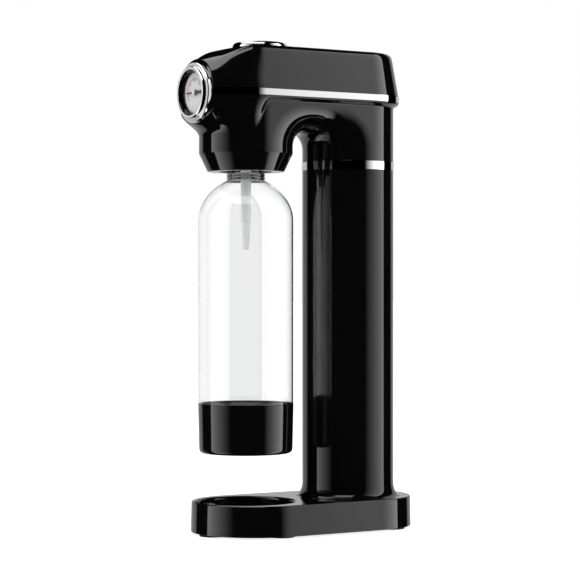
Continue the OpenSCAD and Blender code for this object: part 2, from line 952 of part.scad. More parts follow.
// The return spring: one wire on a helix, with its ends closed by flat discs
module button_spring() {
    low = housing_floor_z + housing_floor_t + gap + spring_wire / 2;
    high = button_top_z - button_shell - gap - spring_wire / 2;
    rings = spring_turns * 16;
    sides = 6;
    pitch = (high - low) / spring_turns;
    lean = atan(pitch / (2 * PI * spring_r));
    points = [for (k = [0:rings], i = [0:sides - 1])
        let (a = 360 * spring_turns * k / rings,
             b = 360 * i / sides,
             z = low + (high - low) * k / rings,
             out = spring_wire / 2 * cos(b),
             up = spring_wire / 2 * sin(b))
        [(spring_r + out) * cos(a) + up * sin(lean) * sin(a),
         (spring_r + out) * sin(a) - up * sin(lean) * cos(a),
         z + up * cos(lean)]];
    skin = [for (k = [0:rings - 1], i = [0:sides - 1])
        let (j = (i + 1) % sides, p = k * sides, q = p + sides)
        each [[p + i, p + j, q + i], [p + j, q + j, q + i]]];
    first = [for (i = [1:sides - 2]) [0, i + 1, i]];
    last = [for (i = [1:sides - 2]) [rings * sides, rings * sides + i, rings * sides + i + 1]];
    color("#c4c7ca")
        translate([0, button_y, 0])
            polyhedron(points, concat(skin, first, last));
}

module valve_block() {
    color("#b08d4a")
        translate([0, column_y, 0])
            difference() {
                union() {
                    translate([0, 0, block_z])
                        cylinder(r = block_r, h = frame_z - block_z);
                    translate([0, 0, frame_z])
                        cylinder(r = boss_r, h = block_top_z - frame_z);
                }
                translate([0, 0, block_z - cut])
                    cylinder(r = valve_thread_r + gap, h = socket_top_z - block_z + cut);
                translate([0, 0, socket_top_z - cut])
                    cylinder(r = pin_r + run_fit, h = block_top_z - socket_top_z + 2 * cut);
                translate([0, 0, pipe_z])
                    rotate([90, 0, 0])
                        cylinder(r = pipe_r / 2, h = block_r + cut);
            }
}

module valve_nut() {
    color("#c0c2c5")
        translate([0, column_y, 0])
            hex_nut(nut_r, boss_r + run_fit, frame_top_z, nut_h);
}

module valve_seal() {
    color("#202022")
        translate([0, column_y, socket_top_z - valve_seal_t])
            difference() {
                cylinder(r = valve_thread_r, h = valve_seal_t);
                translate([0, 0, -cut])
                    cylinder(r = pin_r + 2, h = valve_seal_t + 2 * cut);
            }
}

module valve_pin() {
    color("#c4c7ca")
        translate([0, column_y, core_top_z + gap])
            cylinder(r = pin_r, h = lever_z - gap - core_top_z - gap);
}

module gas_pipe() {
    nut_len = 6;
    y0 = bottle_y + adaptor_r;
    y1 = column_y - block_r;
    color("#b98a52")
        difference() {
            union() {
                bar_y(pipe_r, y0, y1, pipe_z);
                for (y = [y0, y1 - nut_len])
                    translate([0, y + nut_len, pipe_z])
                        rotate([90, 0, 0])
                            cylinder(r = pipe_r + 2, h = nut_len, $fn = 6);
            }
            bar_y(pipe_r / 2, y0 - cut, y1 + cut, pipe_z);
        }
}

module bottle_adaptor() {
    side_y = -boss_r + 1.6;
    color("#1a1b1d")
        translate([0, bottle_y, 0])
            difference() {
                union() {
                    translate([0, 0, adaptor_z])
                        cylinder(r = adaptor_r, h = frame_z - adaptor_z);
                    translate([0, 0, frame_z])
                        cylinder(r = boss_r, h = adaptor_top_z - frame_z);
                }
                translate([0, 0, adaptor_z - cut])
                    cylinder(r = socket_r, h = seal_top_z - adaptor_z + cut);
                translate([0, 0, seal_top_z - cut])
                    cylinder(r = nozzle_r + run_fit, h = nozzle_top_z - seal_top_z + cut);
                translate([0, 0, nozzle_top_z - cut])
                    cylinder(r = pipe_r / 2, h = pipe_z - nozzle_top_z + cut);
                translate([0, 0, pipe_z])
                    rotate([-90, 0, 0])
                        cylinder(r = pipe_r / 2, h = adaptor_r + cut);
                translate([0, side_y, seal_top_z - cut])
                    cylinder(r = 1, h = adaptor_top_z - seal_top_z + 2 * cut);
                translate([0, side_y, gauge_z])
                    rotate([90, 0, 0])
                        cylinder(r = 1, h = boss_r);
            }
}

module adaptor_nut() {
    color("#c0c2c5")
        translate([0, bottle_y, 0])
            hex_nut(nut_r, boss_r + run_fit, frame_top_z, nut_h);
}

module bottle_seal() {
    color("#6d6f72")
        translate([0, bottle_y, seal_z])
            difference() {
                cylinder(r = socket_r - gap, h = seal_t - gap);
                translate([0, 0, -cut])
                    cylinder(r = nozzle_r + 4, h = seal_t + 2 * cut);
            }
}

module nozzle() {
    taper_h = 24;
    bore_r = 1.3;
    low = nozzle_z;
    color("#c9cccd")
        translate([0, bottle_y, 0])
            rotate_extrude()
                polygon([
                    [bore_r, low],
                    [nozzle_tip_r - 0.6, low],
                    [nozzle_tip_r, low + 0.8],
                    [nozzle_r - 0.7, low + taper_h],
                    [nozzle_r - 0.4, low + taper_h + 1],
                    [nozzle_r, low + taper_h + 27],
                    [nozzle_r, nozzle_top_z],
                    [bore_r, nozzle_top_z]
                ]);
}

module relief_valve() {
    color("#b08d4a")
        translate([0, bottle_y, adaptor_top_z])
            difference() {
                union() {
                    cylinder(r = relief_r, h = relief_h - 4, $fn = 6);
                    cylinder(r = relief_r - 2, h = relief_h);
                }
                translate([0, 0, 2])
                    cylinder(r = relief_pin_r + run_fit, h = relief_h);
            }
}

module relief_pin() {
    color("#c4c7ca")
        translate([0, bottle_y, adaptor_top_z + 2 + gap])
            union() {
                cylinder(r = relief_pin_r, h = relief_h - 2);
                translate([0, 0, relief_h - 2])
                    cylinder(r = relief_pin_r + 1.4, h = 2);
            }
}

// Everything of the gauge is turned about its axis along Y
module on_gauge_axis(y) {
    translate([0, y, gauge_z])
        rotate([90, 0, 0])
            children();
}

module gauge_case() {
    color("#2b2c2f")
        difference() {
            bar_y(case_r, nose_y, case_back_y, gauge_z);
            bar_y(case_r - case_wall, nose_y - cut, case_back_y - case_wall, gauge_z);
            bar_y(pipe_r + 1 + run_fit, nose_y, case_back_y + cut, gauge_z);
        }
}

module gauge_bezel() {
    seat = nose_y - lens_y;
    color("#d8dadd")
        on_gauge_axis(nose_y)
            rotate_extrude()
                polygon(concat(
                    [[dial_r + 0.2, dial_t + 0.6], [case_r - case_wall, dial_t + 0.6]],
                    [[case_r - case_wall, 0], [bezel_r, 0], [bezel_r, 3.4]],
                    arc(bezel_r - 1.2, 3.4, 1.2, 1.2, 20, 90, 3),
                    [[bezel_r - 3, 4.2], [bezel_r - 3.6, 4.4]],
                    arc(bezel_r - 5.4, bezel_d - 1.4, 1.8, 1.4, 20, 160, 6),
                    [[lens_r + 0.1, seat], [lens_r + 0.1, seat - lens_t - 0.1]],
                    [[lens_r - 1, seat - lens_t - 0.1]]
                ));
}

module gauge_lens() {
    color("#dfe8ea", 0.3)
        on_gauge_axis(lens_y + lens_t)
            cylinder(r = lens_r, h = lens_t);
}

module gauge_dial() {
    color("#e8e9e8")
        on_gauge_axis(dial_y + dial_t)
            difference() {
                cylinder(r = case_r - case_wall - 0.1, h = dial_t);
                translate([0, 0, -cut])
                    cylinder(r = shaft_r + gap, h = dial_t + 2 * cut);
            }
}

module gauge_needle() {
    tail = 6;
    color("#17181a")
        union() {
            on_gauge_axis(needle_y)
                linear_extrude(needle_t)
                    polygon([
                        [-needle_len, -0.3], [0, -1.5], [tail, -2.6], [tail, -1],
                        [tail - 2, 0], [tail, 1], [tail, 2.6], [0, 1.5], [-needle_len, 0.3]
                    ]);
            on_gauge_axis(needle_y)
                cylinder(r = 2.2, h = needle_t + 0.6);
            on_gauge_axis(stem_block_y - 0.5)
                cylinder(r = shaft_r, h = stem_block_y - 0.5 - needle_y + needle_t / 2);
        }
}

module gauge_movement() {
    color("#b9a15a")
        difference() {
            on_gauge_axis(stem_block_y)
                union() {
                    cylinder(r = 5, h = stem_block_y - dial_y - dial_t);
                    translate([-10, -3, 1])
                        cube([20, 6, 1.6]);
                }
            on_gauge_axis(stem_block_y - 0.5 + gap)
                cylinder(r = shaft_r + run_fit, h = 20);
        }
}

module bourdon_tube() {
    color("#b98a52")
        on_gauge_axis(stem_block_y + 3)
            rotate(-60)
                rotate_extrude(angle = 270)
                    translate([bourdon_r, 0])
                        circle(bourdon_tube);
}

module gauge_stem() {
    arm_w = 5.5;
    color("#b08d4a")
        union() {
            bar_y(pipe_r + 1, stem_block_y, case_back_y + 7, gauge_z);
            on_gauge_axis(stem_block_y + 6)
                rotate(-60)
                    translate([0, -arm_w, 0])
                        cube([bourdon_r + 3, arm_w, 6]);
        }
}

module gauge_pipe() {
    color("#b98a52")
        difference() {
            bar_y(pipe_r - 0.5, case_back_y + 7, bottle_y - boss_r, gauge_z);
            bar_y(1, case_back_y + 7 - cut, bottle_y - boss_r + cut, gauge_z);
        }
}

module cylinder_body() {
    foot = 6;
    outer = concat(
        [[0, gas_z], [gas_r - foot, gas_z]],
        arc(gas_r - foot, gas_z + foot, foot, foot, -75, 0, 5),
        arc(gas_neck_r, gas_body_z, gas_r - gas_neck_r, gas_shoulder_h, 0, 90, 8),
        [[gas_neck_r, gas_top_z], [0, gas_top_z]]
    );
    inner = concat(
        [[0, gas_z + 2 * gas_wall], [gas_r - foot, gas_z + 2 * gas_wall]],
        [[gas_r - gas_wall, gas_z + 2 * foot]],
        arc(gas_bore_r, gas_body_z, gas_r - gas_wall - gas_bore_r, gas_shoulder_h - gas_wall, 0, 90, 8),
        [[gas_bore_r, gas_top_z + cut], [0, gas_top_z + cut]]
    );
    color("#9ea3a8")
        translate([0, column_y, 0])
            difference() {
                rotate_extrude()
                    polygon(outer);
                rotate_extrude()
                    polygon(inner);
            }
}

module cylinder_valve() {
    tail = 8;
    color("#b08d4a")
        translate([0, column_y, 0])
            difference() {
                union() {
                    translate([0, 0, gas_top_z - tail])
                        cylinder(r = gas_bore_r - run_fit, h = tail + 1);
                    translate([0, 0, gas_top_z])
                        cylinder(r = gas_neck_r + 0.5, h = valve_hex_h, $fn = 6);
                    translate([0, 0, valve_z])
                        cylinder(r = valve_thread_r, h = valve_h);
                }
                translate([0, 0, core_top_z - core_h - button_travel])
                    cylinder(r = pin_r + run_fit, h = core_h + button_travel + 10);
            }
}

module cylinder_pin() {
    color("#c4c7ca")
        translate([0, column_y, core_top_z - core_h])
            cylinder(r = pin_r, h = core_h);
}

module bottle_shell() {
    function dome(r, h) =
        arc(-dome_bulge, dome_z, r + dome_bulge, h / sin(dome_turn), 0, dome_turn, 10);
    foot = 8;
    foot_z = bottle_z + cup_wall + gap;
    thread_pitch = 4;
    outer = concat(
        [[0, foot_z], [foot_in_r - foot, foot_z]],
        arc(foot_in_r - foot, foot_z + foot, foot, foot, -70, 0, 5),
        [[foot_in_r + cup_draft, bottle_z + cup_h], [bottle_r, bottle_z + cup_h + 1]],
        dome(bottle_r, dome_h),
        [[mouth_r + 0.8, dome_top_z], [mouth_r + 0.8, mouth_z], [mouth_r, mouth_z]],
        [[mouth_r, mouth_top_z], [0, mouth_top_z]]
    );
    inner = concat(
        [[0, bottle_z + foot / 2], [foot_in_r - foot - bottle_wall, bottle_z + foot / 2]],
        [[foot_in_r - bottle_wall, bottle_z + foot + 4]],
        [[foot_in_r + cup_draft - bottle_wall, bottle_z + cup_h + 4]],
        [[bottle_in_r, bottle_z + cup_h + 8]],
        dome(bottle_in_r, dome_h - bottle_wall),
        [[mouth_in_r, dome_top_z], [mouth_in_r, mouth_top_z + cut], [0, mouth_top_z + cut]]
    );
    color("#e6eef0", 0.35)
        translate([0, bottle_y, 0])
            union() {
                difference() {
                    rotate_extrude()
                        polygon(outer);
                    rotate_extrude()
                        polygon(inner);
                }
                for (k = [0:2])
                    translate([0, 0, mouth_z + 3 + thread_pitch * k])
                        rotate_extrude()
                            polygon([
                                [mouth_r - 0.2, 0],
                                [mouth_r + thread_d, 0.8],
                                [mouth_r + thread_d, 1.6],
                                [mouth_r - 0.2, 2.4]
                            ]);
            }
}

module bottle_cup() {
    foot = 4;
    top_in = cup_r - cup_wall;
    color("#131416")
        translate([0, bottle_y, 0])
            rotate_extrude()
                polygon(concat(
                    [[0, bottle_z], [cup_r - cup_draft - foot, bottle_z]],
                    arc(cup_r - cup_draft - foot, bottle_z + foot, foot, foot, -80, 0, 5),
                    [[cup_r, bottle_z + cup_h - 1], [cup_r - 0.4, bottle_z + cup_h]],
                    [[top_in, bottle_z + cup_h], [cup_low_in_r, bottle_z + foot + 1]],
                    [[cup_low_in_r - foot, bottle_z + cup_wall], [0, bottle_z + cup_wall]]
                ));
}

module bottle_neck_ring() {
    color("#17181a")
        translate([0, bottle_y, neck_ring_z])
            rotate_extrude()
                polygon(concat(
                    [[mouth_r + 0.8 + run_fit, gap], [neck_top_r - 0.8, gap]],
                    arc(neck_top_r - 0.8, neck_ring_h / 2, 1.1, neck_ring_h / 2 - gap, -60, 60, 6),
                    [[neck_top_r - 0.8, neck_ring_h], [mouth_r + 0.8 + run_fit, neck_ring_h]]
                ));
}

base_shell();
base_plate();
base_screws();
feet();
cylinder_hatch();
column_tube();
column_screws();
column_ring();
guide_rings();
head_lower();
head_upper();
trim_strip();
head_screws();
head_frame();
frame_screws();
lever_pin();
lever();
button_ring();
button_housing();
button_cap();
button_stem();
button_spring();
valve_block();
valve_nut();
valve_seal();
valve_pin();
gas_pipe();
bottle_adaptor();
adaptor_nut();
bottle_seal();
nozzle();
relief_valve();
relief_pin();
gauge_case();
gauge_bezel();
gauge_lens();
gauge_dial();
gauge_needle();
gauge_movement();
bourdon_tube();
gauge_stem();
gauge_pipe();
cylinder_body();
cylinder_valve();
cylinder_pin();
bottle_shell();
bottle_cup();
bottle_neck_ring();
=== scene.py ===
# %% [markdown]
# This file dresses a sparkling water maker: a long base, a column that hides the gas cylinder, and a head that
# carries a pressure gauge in its nose, a push button on top and a clear bottle below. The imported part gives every
# place and size. Here the outside gets smooth skins and real finishes, and a plain studio is put round it.

import json

import bmesh
import bpy
import numpy as np
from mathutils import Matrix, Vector


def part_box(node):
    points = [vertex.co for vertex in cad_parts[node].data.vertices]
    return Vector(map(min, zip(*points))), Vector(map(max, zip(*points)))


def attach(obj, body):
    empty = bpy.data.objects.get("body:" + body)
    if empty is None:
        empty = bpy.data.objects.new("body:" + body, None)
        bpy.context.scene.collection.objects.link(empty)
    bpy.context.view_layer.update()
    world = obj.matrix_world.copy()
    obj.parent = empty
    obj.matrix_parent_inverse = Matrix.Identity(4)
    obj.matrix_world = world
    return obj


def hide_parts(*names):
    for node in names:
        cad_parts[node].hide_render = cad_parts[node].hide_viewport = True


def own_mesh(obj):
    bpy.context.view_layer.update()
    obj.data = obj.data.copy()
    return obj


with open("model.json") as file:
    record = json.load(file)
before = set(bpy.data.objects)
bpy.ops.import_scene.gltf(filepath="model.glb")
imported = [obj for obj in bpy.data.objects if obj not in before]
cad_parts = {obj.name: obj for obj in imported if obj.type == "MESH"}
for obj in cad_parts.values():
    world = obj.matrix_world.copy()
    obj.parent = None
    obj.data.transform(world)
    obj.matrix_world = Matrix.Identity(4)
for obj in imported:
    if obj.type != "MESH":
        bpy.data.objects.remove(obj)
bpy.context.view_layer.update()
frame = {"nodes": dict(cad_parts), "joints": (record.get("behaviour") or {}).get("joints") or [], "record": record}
record = frame["record"]
slot_of = {part["node"]: part["material_slot"] for part in record["subparts"]}
body_of = {node: body for body, nodes in record["behaviour"]["bodies"].items() for node in nodes}

# %% [markdown]
# Every skin below has to sit exactly where its solid sits. The sizes could be typed in again, but reading them from
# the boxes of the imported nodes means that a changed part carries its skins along. Shapes are worked out in
# millimetres, as on a drawing, and turned into metres once, when a mesh is made.

# %% read the main sizes
MM = 0.001


def span(node):
    """The lowest and highest corner of a node's box, in millimetres."""
    low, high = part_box(node)
    return np.array(low) / MM, np.array(high) / MM


base_low, base_high = span("base_shell")
tube_low, tube_high = span("column_tube")
ring_low, ring_high = span("column_ring")
head_low, _ = span("head_lower")
cover_low, cover_high = span("head_upper")
strip_low, strip_high = span("trim_strip")
bezel_low, bezel_high = span("gauge_bezel")
press_low, press_high = span("button_ring")
cap_low, cap_high = span("button_cap")
bottle_low, bottle_high = span("bottle_shell")
cup_low, cup_high = span("bottle_cup")
grip_low, grip_high = span("bottle_neck_ring")
tip_low, tip_high = span("nozzle")

bottle_y = (cup_low[1] + cup_high[1]) / 2
column_y = (ring_low[1] + ring_high[1]) / 2
button_y = (cap_low[1] + cap_high[1]) / 2
gauge_z = (bezel_low[2] + bezel_high[2]) / 2
nose_y = cover_low[1]
head_w = cover_high[0]
print("bottle axis", round(bottle_y, 1), "column axis", round(column_y, 1), "gauge height", round(gauge_z, 1))

# %% [markdown]
# The photograph was taken with a long lens, level with the middle of the bottle, from the front right. A camera could
# be aimed by eye, but its place was fitted to outlines of known pieces, so it is stated as numbers: how far it stands
# from the bottle's axis, its turn round that axis, its height and its lens.

# %% place the camera
VIEW_TURN = np.radians(57.36)
VIEW_DISTANCE = 1969.1
VIEW_SIDE = 40.0
VIEW_HEIGHT = 226.6
PHOTO_SIZE = 580
FOCAL_PIXELS = 2172.96
HORIZON_ROW = 283.58

ahead = np.array([-np.sin(VIEW_TURN), np.cos(VIEW_TURN), 0.0])
right = np.array([np.cos(VIEW_TURN), np.sin(VIEW_TURN), 0.0])
stand_point = np.array([0.0, bottle_y, VIEW_HEIGHT]) - VIEW_DISTANCE * ahead + VIEW_SIDE * right

lens = bpy.data.cameras.new("camera")
lens.sensor_width = 36.0
lens.lens = FOCAL_PIXELS / PHOTO_SIZE * lens.sensor_width
lens.shift_y = (HORIZON_ROW - PHOTO_SIZE / 2) / PHOTO_SIZE
camera = bpy.data.objects.new("camera", lens)
camera.location = Vector(stand_point * MM)
camera.rotation_euler = Vector(ahead).to_track_quat("-Z", "Y").to_euler()
bpy.context.scene.collection.objects.link(camera)
bpy.context.scene.camera = camera
bpy.context.scene.view_settings.view_transform = "Standard"
print("camera at", [round(v, 3) for v in camera.location], "lens", round(lens.lens, 1))

# %% [markdown]
# Most pieces here are turned or swept: a section with softened corners, carried round an axis or along an outline.
# Blender's Bevel could soften corners afterwards, but a section that already holds its arcs keeps each radius under
# control. An arc is a rational curve with three points, whose middle weight is the sine of half the corner's angle.

# %% sections and turned surfaces
ARC_POINTS = 7
DRILL_PAST = 9.0


def unit(ways):
    """Directions made one long."""
    return ways / np.linalg.norm(ways, axis=1, keepdims=True)


def points_at(*coordinates):
    """Points from their coordinates, which are spread to one shape first."""
    return np.stack(np.broadcast_arrays(*coordinates), -1)


def rounded(*corners, closed=False, hold=0.2):
    """A path through corners, each (across, up, radius): every corner becomes an arc of its radius that touches both
    sides, with one more point a little before and after it so that shading stays flat on the sides."""
    table = np.array(corners, float)
    p, r = table[:, :2], table[:, 2:]
    back, on = unit(np.roll(p, 1, 0) - p), unit(np.roll(p, -1, 0) - p)
    half = np.arccos(np.clip((back * on).sum(1, keepdims=True), -1, 1)) / 2
    reach = np.where(r > 0, r / np.tan(half), 0)
    rest = np.where(r > 0, hold, 0)
    first, last = p + back * reach, p + on * reach
    t = np.linspace(0, 1, ARC_POINTS)[None, :, None]
    weights = (1 - t) ** 2, 2 * t * (1 - t) * np.sin(half)[:, :, None], t**2
    arc = sum(w * q[:, None, :] for w, q in zip(weights, (first, p, last))) / sum(weights)
    path = np.concatenate([(first + back * rest)[:, None], arc, (last + on * rest)[:, None]], 1).reshape(-1, 2)
    if closed:
        path = np.concatenate([path, path[:1]])
    fresh = np.linalg.norm(np.diff(path, axis=0, prepend=path[:1] - 1), axis=1) > 1e-6
    return path[fresh]


def turned(profile, y, turns=192):
    """A section of (radius, height) carried round an upright axis at y: (r cos a, y + r sin a, z)."""
    a = np.linspace(0, 2 * np.pi, turns + 1)
    r, z = profile[:, :1], profile[:, 1:]
    return points_at(r * np.cos(a), y + r * np.sin(a), z)


def faced(profile, turns=160):
    """A section of (radius, distance out of the nose) carried round the gauge's level axis."""
    a = np.linspace(0, 2 * np.pi, turns + 1)
    r, out = profile[:, :1], profile[:, 1:]
    return points_at(r * np.cos(a), nose_y - out, gauge_z + r * np.sin(a))


def raised(plan, section):
    """Rows of plan points, each row at the height that its point of the section has."""
    return points_at(plan[..., 0], plan[..., 1], section[:, 1:])


def slab(inner, outer, first, last, soft=(0, 0), closed=False):
    """A section with four corners, between two radii and two heights, and the softness of its outer corners."""
    corners = (inner, first, 0), (outer, first, soft[0]), (outer, last, soft[1]), (inner, last, 0)
    return rounded(*corners, closed=closed)


def drill(radius, z, y):
    """A short upright cylinder at y, for a hole through a sheet at height z."""
    return turned(slab(0, radius, z - DRILL_PAST, z + DRILL_PAST), y)


print("a softened square has", len(rounded((0, 0, 1), (9, 0, 1), (9, 9, 1), (0, 9, 1), closed=True)), "points")

# %% [markdown]
# A grid of points becomes a mesh with four-sided faces between neighbouring rows and columns. Grids that meet share
# their edge points, so a weld joins them, closes the seams and draws the poles together. The Solidify modifier then
# gives a skin its wall, and edges sharper than a set angle stay crisp.

# %% from grids to a piece
WELD = 0.002


def settle(piece, sharp):
    """Applies a piece's modifiers, shades it smooth and keeps the edges past an angle, in degrees, crisp."""
    view = bpy.context.evaluated_depsgraph_get()
    mesh = bpy.data.meshes.new_from_object(piece.evaluated_get(view))
    piece.modifiers.clear()
    piece.data = mesh
    mesh.shade_smooth()
    mesh.set_sharp_from_angle(angle=np.radians(sharp))


def grid_faces(grids):
    """Corner numbers of the faces of several grids whose points lie one after another."""
    starts = np.cumsum([0] + [g.shape[0] * g.shape[1] for g in grids])
    numbers = [s + np.arange(g.shape[0] * g.shape[1]).reshape(g.shape[:2]) for s, g in zip(starts, grids)]
    corners = [np.stack([n[:-1, :-1], n[:-1, 1:], n[1:, 1:], n[1:, :-1]], -1).reshape(-1, 4) for n in numbers]
    return np.concatenate(corners)


def welded(name, grids, opening=None):
    """One mesh object from grids in millimetres, without the faces whose middle lies in an opening."""
    points = np.concatenate([g.reshape(-1, 3) for g in grids])
    faces = grid_faces(grids)
    if opening is not None:
        faces = faces[~opening(points[faces].mean(1))]
    mesh = bpy.data.meshes.new(name)
    mesh.from_pydata((points * MM).tolist(), [], faces.tolist())
    shape = bmesh.new()
    shape.from_mesh(mesh)
    bmesh.ops.remove_doubles(shape, verts=shape.verts, dist=WELD * MM)
    bmesh.ops.delete(shape, geom=[v for v in shape.verts if not v.link_faces], context="VERTS")
    bmesh.ops.recalc_face_normals(shape, faces=shape.faces)
    shape.to_mesh(mesh)
    shape.free()
    piece = bpy.data.objects.new(name, mesh)
    bpy.context.scene.collection.objects.link(piece)
    return piece


def skin(node, grids, wall=0.0, bore=None, opening=None, sharp=32, finish=None):
    """A piece that stands for a node: it rides on the node's body and takes the finish of the node's slot."""
    piece = welded(node + "_skin", grids, opening)
    if wall:
        thick = piece.modifiers.new("wall", "SOLIDIFY")
        thick.thickness = wall * MM
        thick.offset = -1
    if bore is not None:
        tool = welded("bore", [bore])
        hole = piece.modifiers.new("bore", "BOOLEAN")
        hole.object = tool
        hole.solver = "EXACT"
    settle(piece, sharp)
    if bore is not None:
        bpy.data.objects.remove(tool)
    piece.data.materials.append(finishes[finish or slot_of[node]])
    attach(piece, body_of[node])
    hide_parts(node)
    print(piece.name, len(piece.data.polygons), "faces")
    return piece


# %% [markdown]
# A finish is a material with its nodes. Long node set-ups are hard to read as links, so a socket is wrapped in a small
# class: adding or multiplying two of them adds the Math node. Every other kind of node comes from one method, which
# sets the node's options first and then its sockets.


# %% a small language for finishes
def operation(kind):
    """A method that adds one Math node, for a wire by itself or with another value."""

    def method(wire, *other):
        return wire.math(kind, wire, *other)

    return method


class Wire:
    """A socket that can be used in sums: each operation adds one Math node to its finish."""

    def __init__(self, finish, socket):
        self.finish = finish
        self.socket = socket

    def math(self, kind, *values):
        return self.finish.node("ShaderNodeMath", {"operation": kind}, dict(enumerate(values)))

    def __rsub__(self, other):
        return self.math("SUBTRACT", other, self)

    __add__ = __radd__ = operation("ADD")
    __mul__ = __rmul__ = operation("MULTIPLY")
    __sub__ = operation("SUBTRACT")
    __truediv__ = operation("DIVIDE")
    __pow__ = operation("POWER")
    __gt__ = operation("GREATER_THAN")
    __lt__ = operation("LESS_THAN")
    __abs__ = operation("ABSOLUTE")
    larger = operation("MAXIMUM")
    fraction = operation("FRACT")
    turn_from = operation("ARCTAN2")


class Finish:
    """The nodes of a new material, or of a world that is given."""

    def __init__(self, name, world=None):
        self.material = world or bpy.data.materials.new(name)
        self.material.use_nodes = True
        self.tree = self.material.node_tree
        self.shader = self.tree.nodes["Background" if world else "Principled BSDF"]

    def node(self, kind, settings, sockets, out=0):
        """Adds a node, sets its options and then its sockets, and returns one of its outputs."""
        new = self.tree.nodes.new(kind)
        for option, value in settings.items():
            setattr(new, option, value)
        for socket, value in sockets.items():
            self.feed(new.inputs[socket], value)
        return Wire(self, new.outputs[out])

    def feed(self, socket, value):
        """Links a wire to a socket, or sets a plain value on it."""
        if isinstance(value, Wire):
            self.tree.links.new(value.socket, socket)
        else:
            socket.default_value = value

    def shade(self, **values):
        """Sets the shader's sockets: words are joined by underscores."""
        for words, value in values.items():
            self.feed(self.shader.inputs[words.replace("_", " ")], value)

    def ray(self, kind):
        """1 for rays of a kind, such as Camera or Diffuse, and 0 for all others."""
        return self.node("ShaderNodeLightPath", {}, {}, f"Is {kind} Ray")

    def place(self):
        """Object coordinates, in metres."""
        return self.node("ShaderNodeTexCoord", {}, {}, "Object")

    def noise(self, scale, detail=2.0, stretch=(1, 1, 1)):
        """A soft noise from 0 to 1, with its grains per metre and its stretch along each axis."""
        where = self.node("ShaderNodeMapping", {}, {"Vector": self.place(), "Scale": stretch})
        return self.node("ShaderNodeTexNoise", {}, {"Vector": where, "Scale": scale, "Detail": detail})

    def mix(self, amount, one, two):
        """A blend of two colours."""
        return self.node("ShaderNodeMix", {"data_type": "RGBA"}, {0: amount, 6: one, 7: two}, 2)

    def ripple(self, height, strength, distance):
        """A bump from a height, for the Normal socket."""
        return self.node("ShaderNodeBump", {}, {"Strength": strength, "Distance": distance, "Height": height})


finishes = {}
print("finishes are kept by slot or by name")

# %% [markdown]
# The shells are polished black plastic: almost no colour of its own, only reflections. A flat black would do from far
# away, but a real moulding has a faint ripple from the tool and fine haze left by handling, so its roughness and its
# normal vary a little.


# %% polished black plastic
def polished_black(name, bend):
    """Black with a faint haze and ripple. Its index of refraction, bend, sets how much it mirrors."""
    f = Finish(name)
    haze = f.noise(60.0, 4.0)
    tone = f.mix(haze, (0.0022, 0.0022, 0.0025, 1), (0.0045, 0.0045, 0.005, 1))
    f.shade(Base_Color=tone, Roughness=0.035 + 0.03 * haze, IOR=bend)
    f.shade(Normal=f.ripple(f.noise(130.0, 1.0), 0.04, 0.0004))
    return f.material


finishes["black_gloss"] = polished_black("polished_black", 1.62)
finishes["painted_tube"] = polished_black("painted_tube", 1.5)
print("polished mouldings and the painted tube")

# %% [markdown]
# Unpolished mouldings have a fine spark-eroded grain. A picture of grain would need a file, so a fine noise gives the
# grain its height, and a coarse one makes tone and sheen uneven. Rubber is the same idea, only duller.


# %% moulded black and rubber
def moulded_black(name, dark, light, rough, grain):
    """Patchy black between two tones, with its grains per metre."""
    f = Finish(name)
    patch = f.noise(45.0, 3.0)
    fine = f.noise(grain, 2.0)
    f.shade(Base_Color=f.mix(patch, dark, light), Roughness=rough + 0.12 * patch)
    f.shade(Normal=f.ripple(fine, 0.25, 0.0002))
    return f.material


finishes["black_matte"] = moulded_black(
    "moulded_black", (0.012, 0.012, 0.013, 1), (0.022, 0.022, 0.024, 1), 0.42, 2600.0
)
finishes["rubber"] = moulded_black("black_rubber", (0.01, 0.01, 0.01, 1), (0.02, 0.02, 0.02, 1), 0.68, 1400.0)
print("moulded black and rubber")

# %% [markdown]
# Metals differ by colour and by how they were worked: plating is smooth, a drawn tube has fine lines along it, and a
# turned part has lines round it. One function makes them all, with a noise stretched along the way of working.


# %% metals
def metal(name, dull, bright, rough, stretch, lines):
    """A metal between two tones, with its working lines per metre and their stretch along each axis."""
    f = Finish(name)
    streak = f.noise(lines, 3.0, stretch)
    cloud = f.noise(35.0, 3.0)
    f.shade(Base_Color=f.mix(cloud, dull, bright), Metallic=1.0, Roughness=rough * (0.7 + 0.6 * streak))
    f.shade(Normal=f.ripple(streak, 0.05, 0.0001))
    return f.material


finishes["chrome"] = metal("plated_trim", (0.80, 0.81, 0.82, 1), (0.86, 0.87, 0.88, 1), 0.07, (1, 1, 1), 90.0)
finishes["steel"] = metal("machined_steel", (0.46, 0.47, 0.49, 1), (0.58, 0.59, 0.61, 1), 0.3, (1, 1, 14), 260.0)
finishes["brass"] = metal("machined_brass", (0.60, 0.44, 0.20, 1), (0.74, 0.56, 0.28, 1), 0.26, (1, 1, 14), 260.0)
finishes["cylinder_aluminium"] = metal(
    "drawn_aluminium", (0.55, 0.57, 0.59, 1), (0.66, 0.68, 0.70, 1), 0.34, (14, 14, 1), 160.0
)
print("plated trim, steel, brass and aluminium")
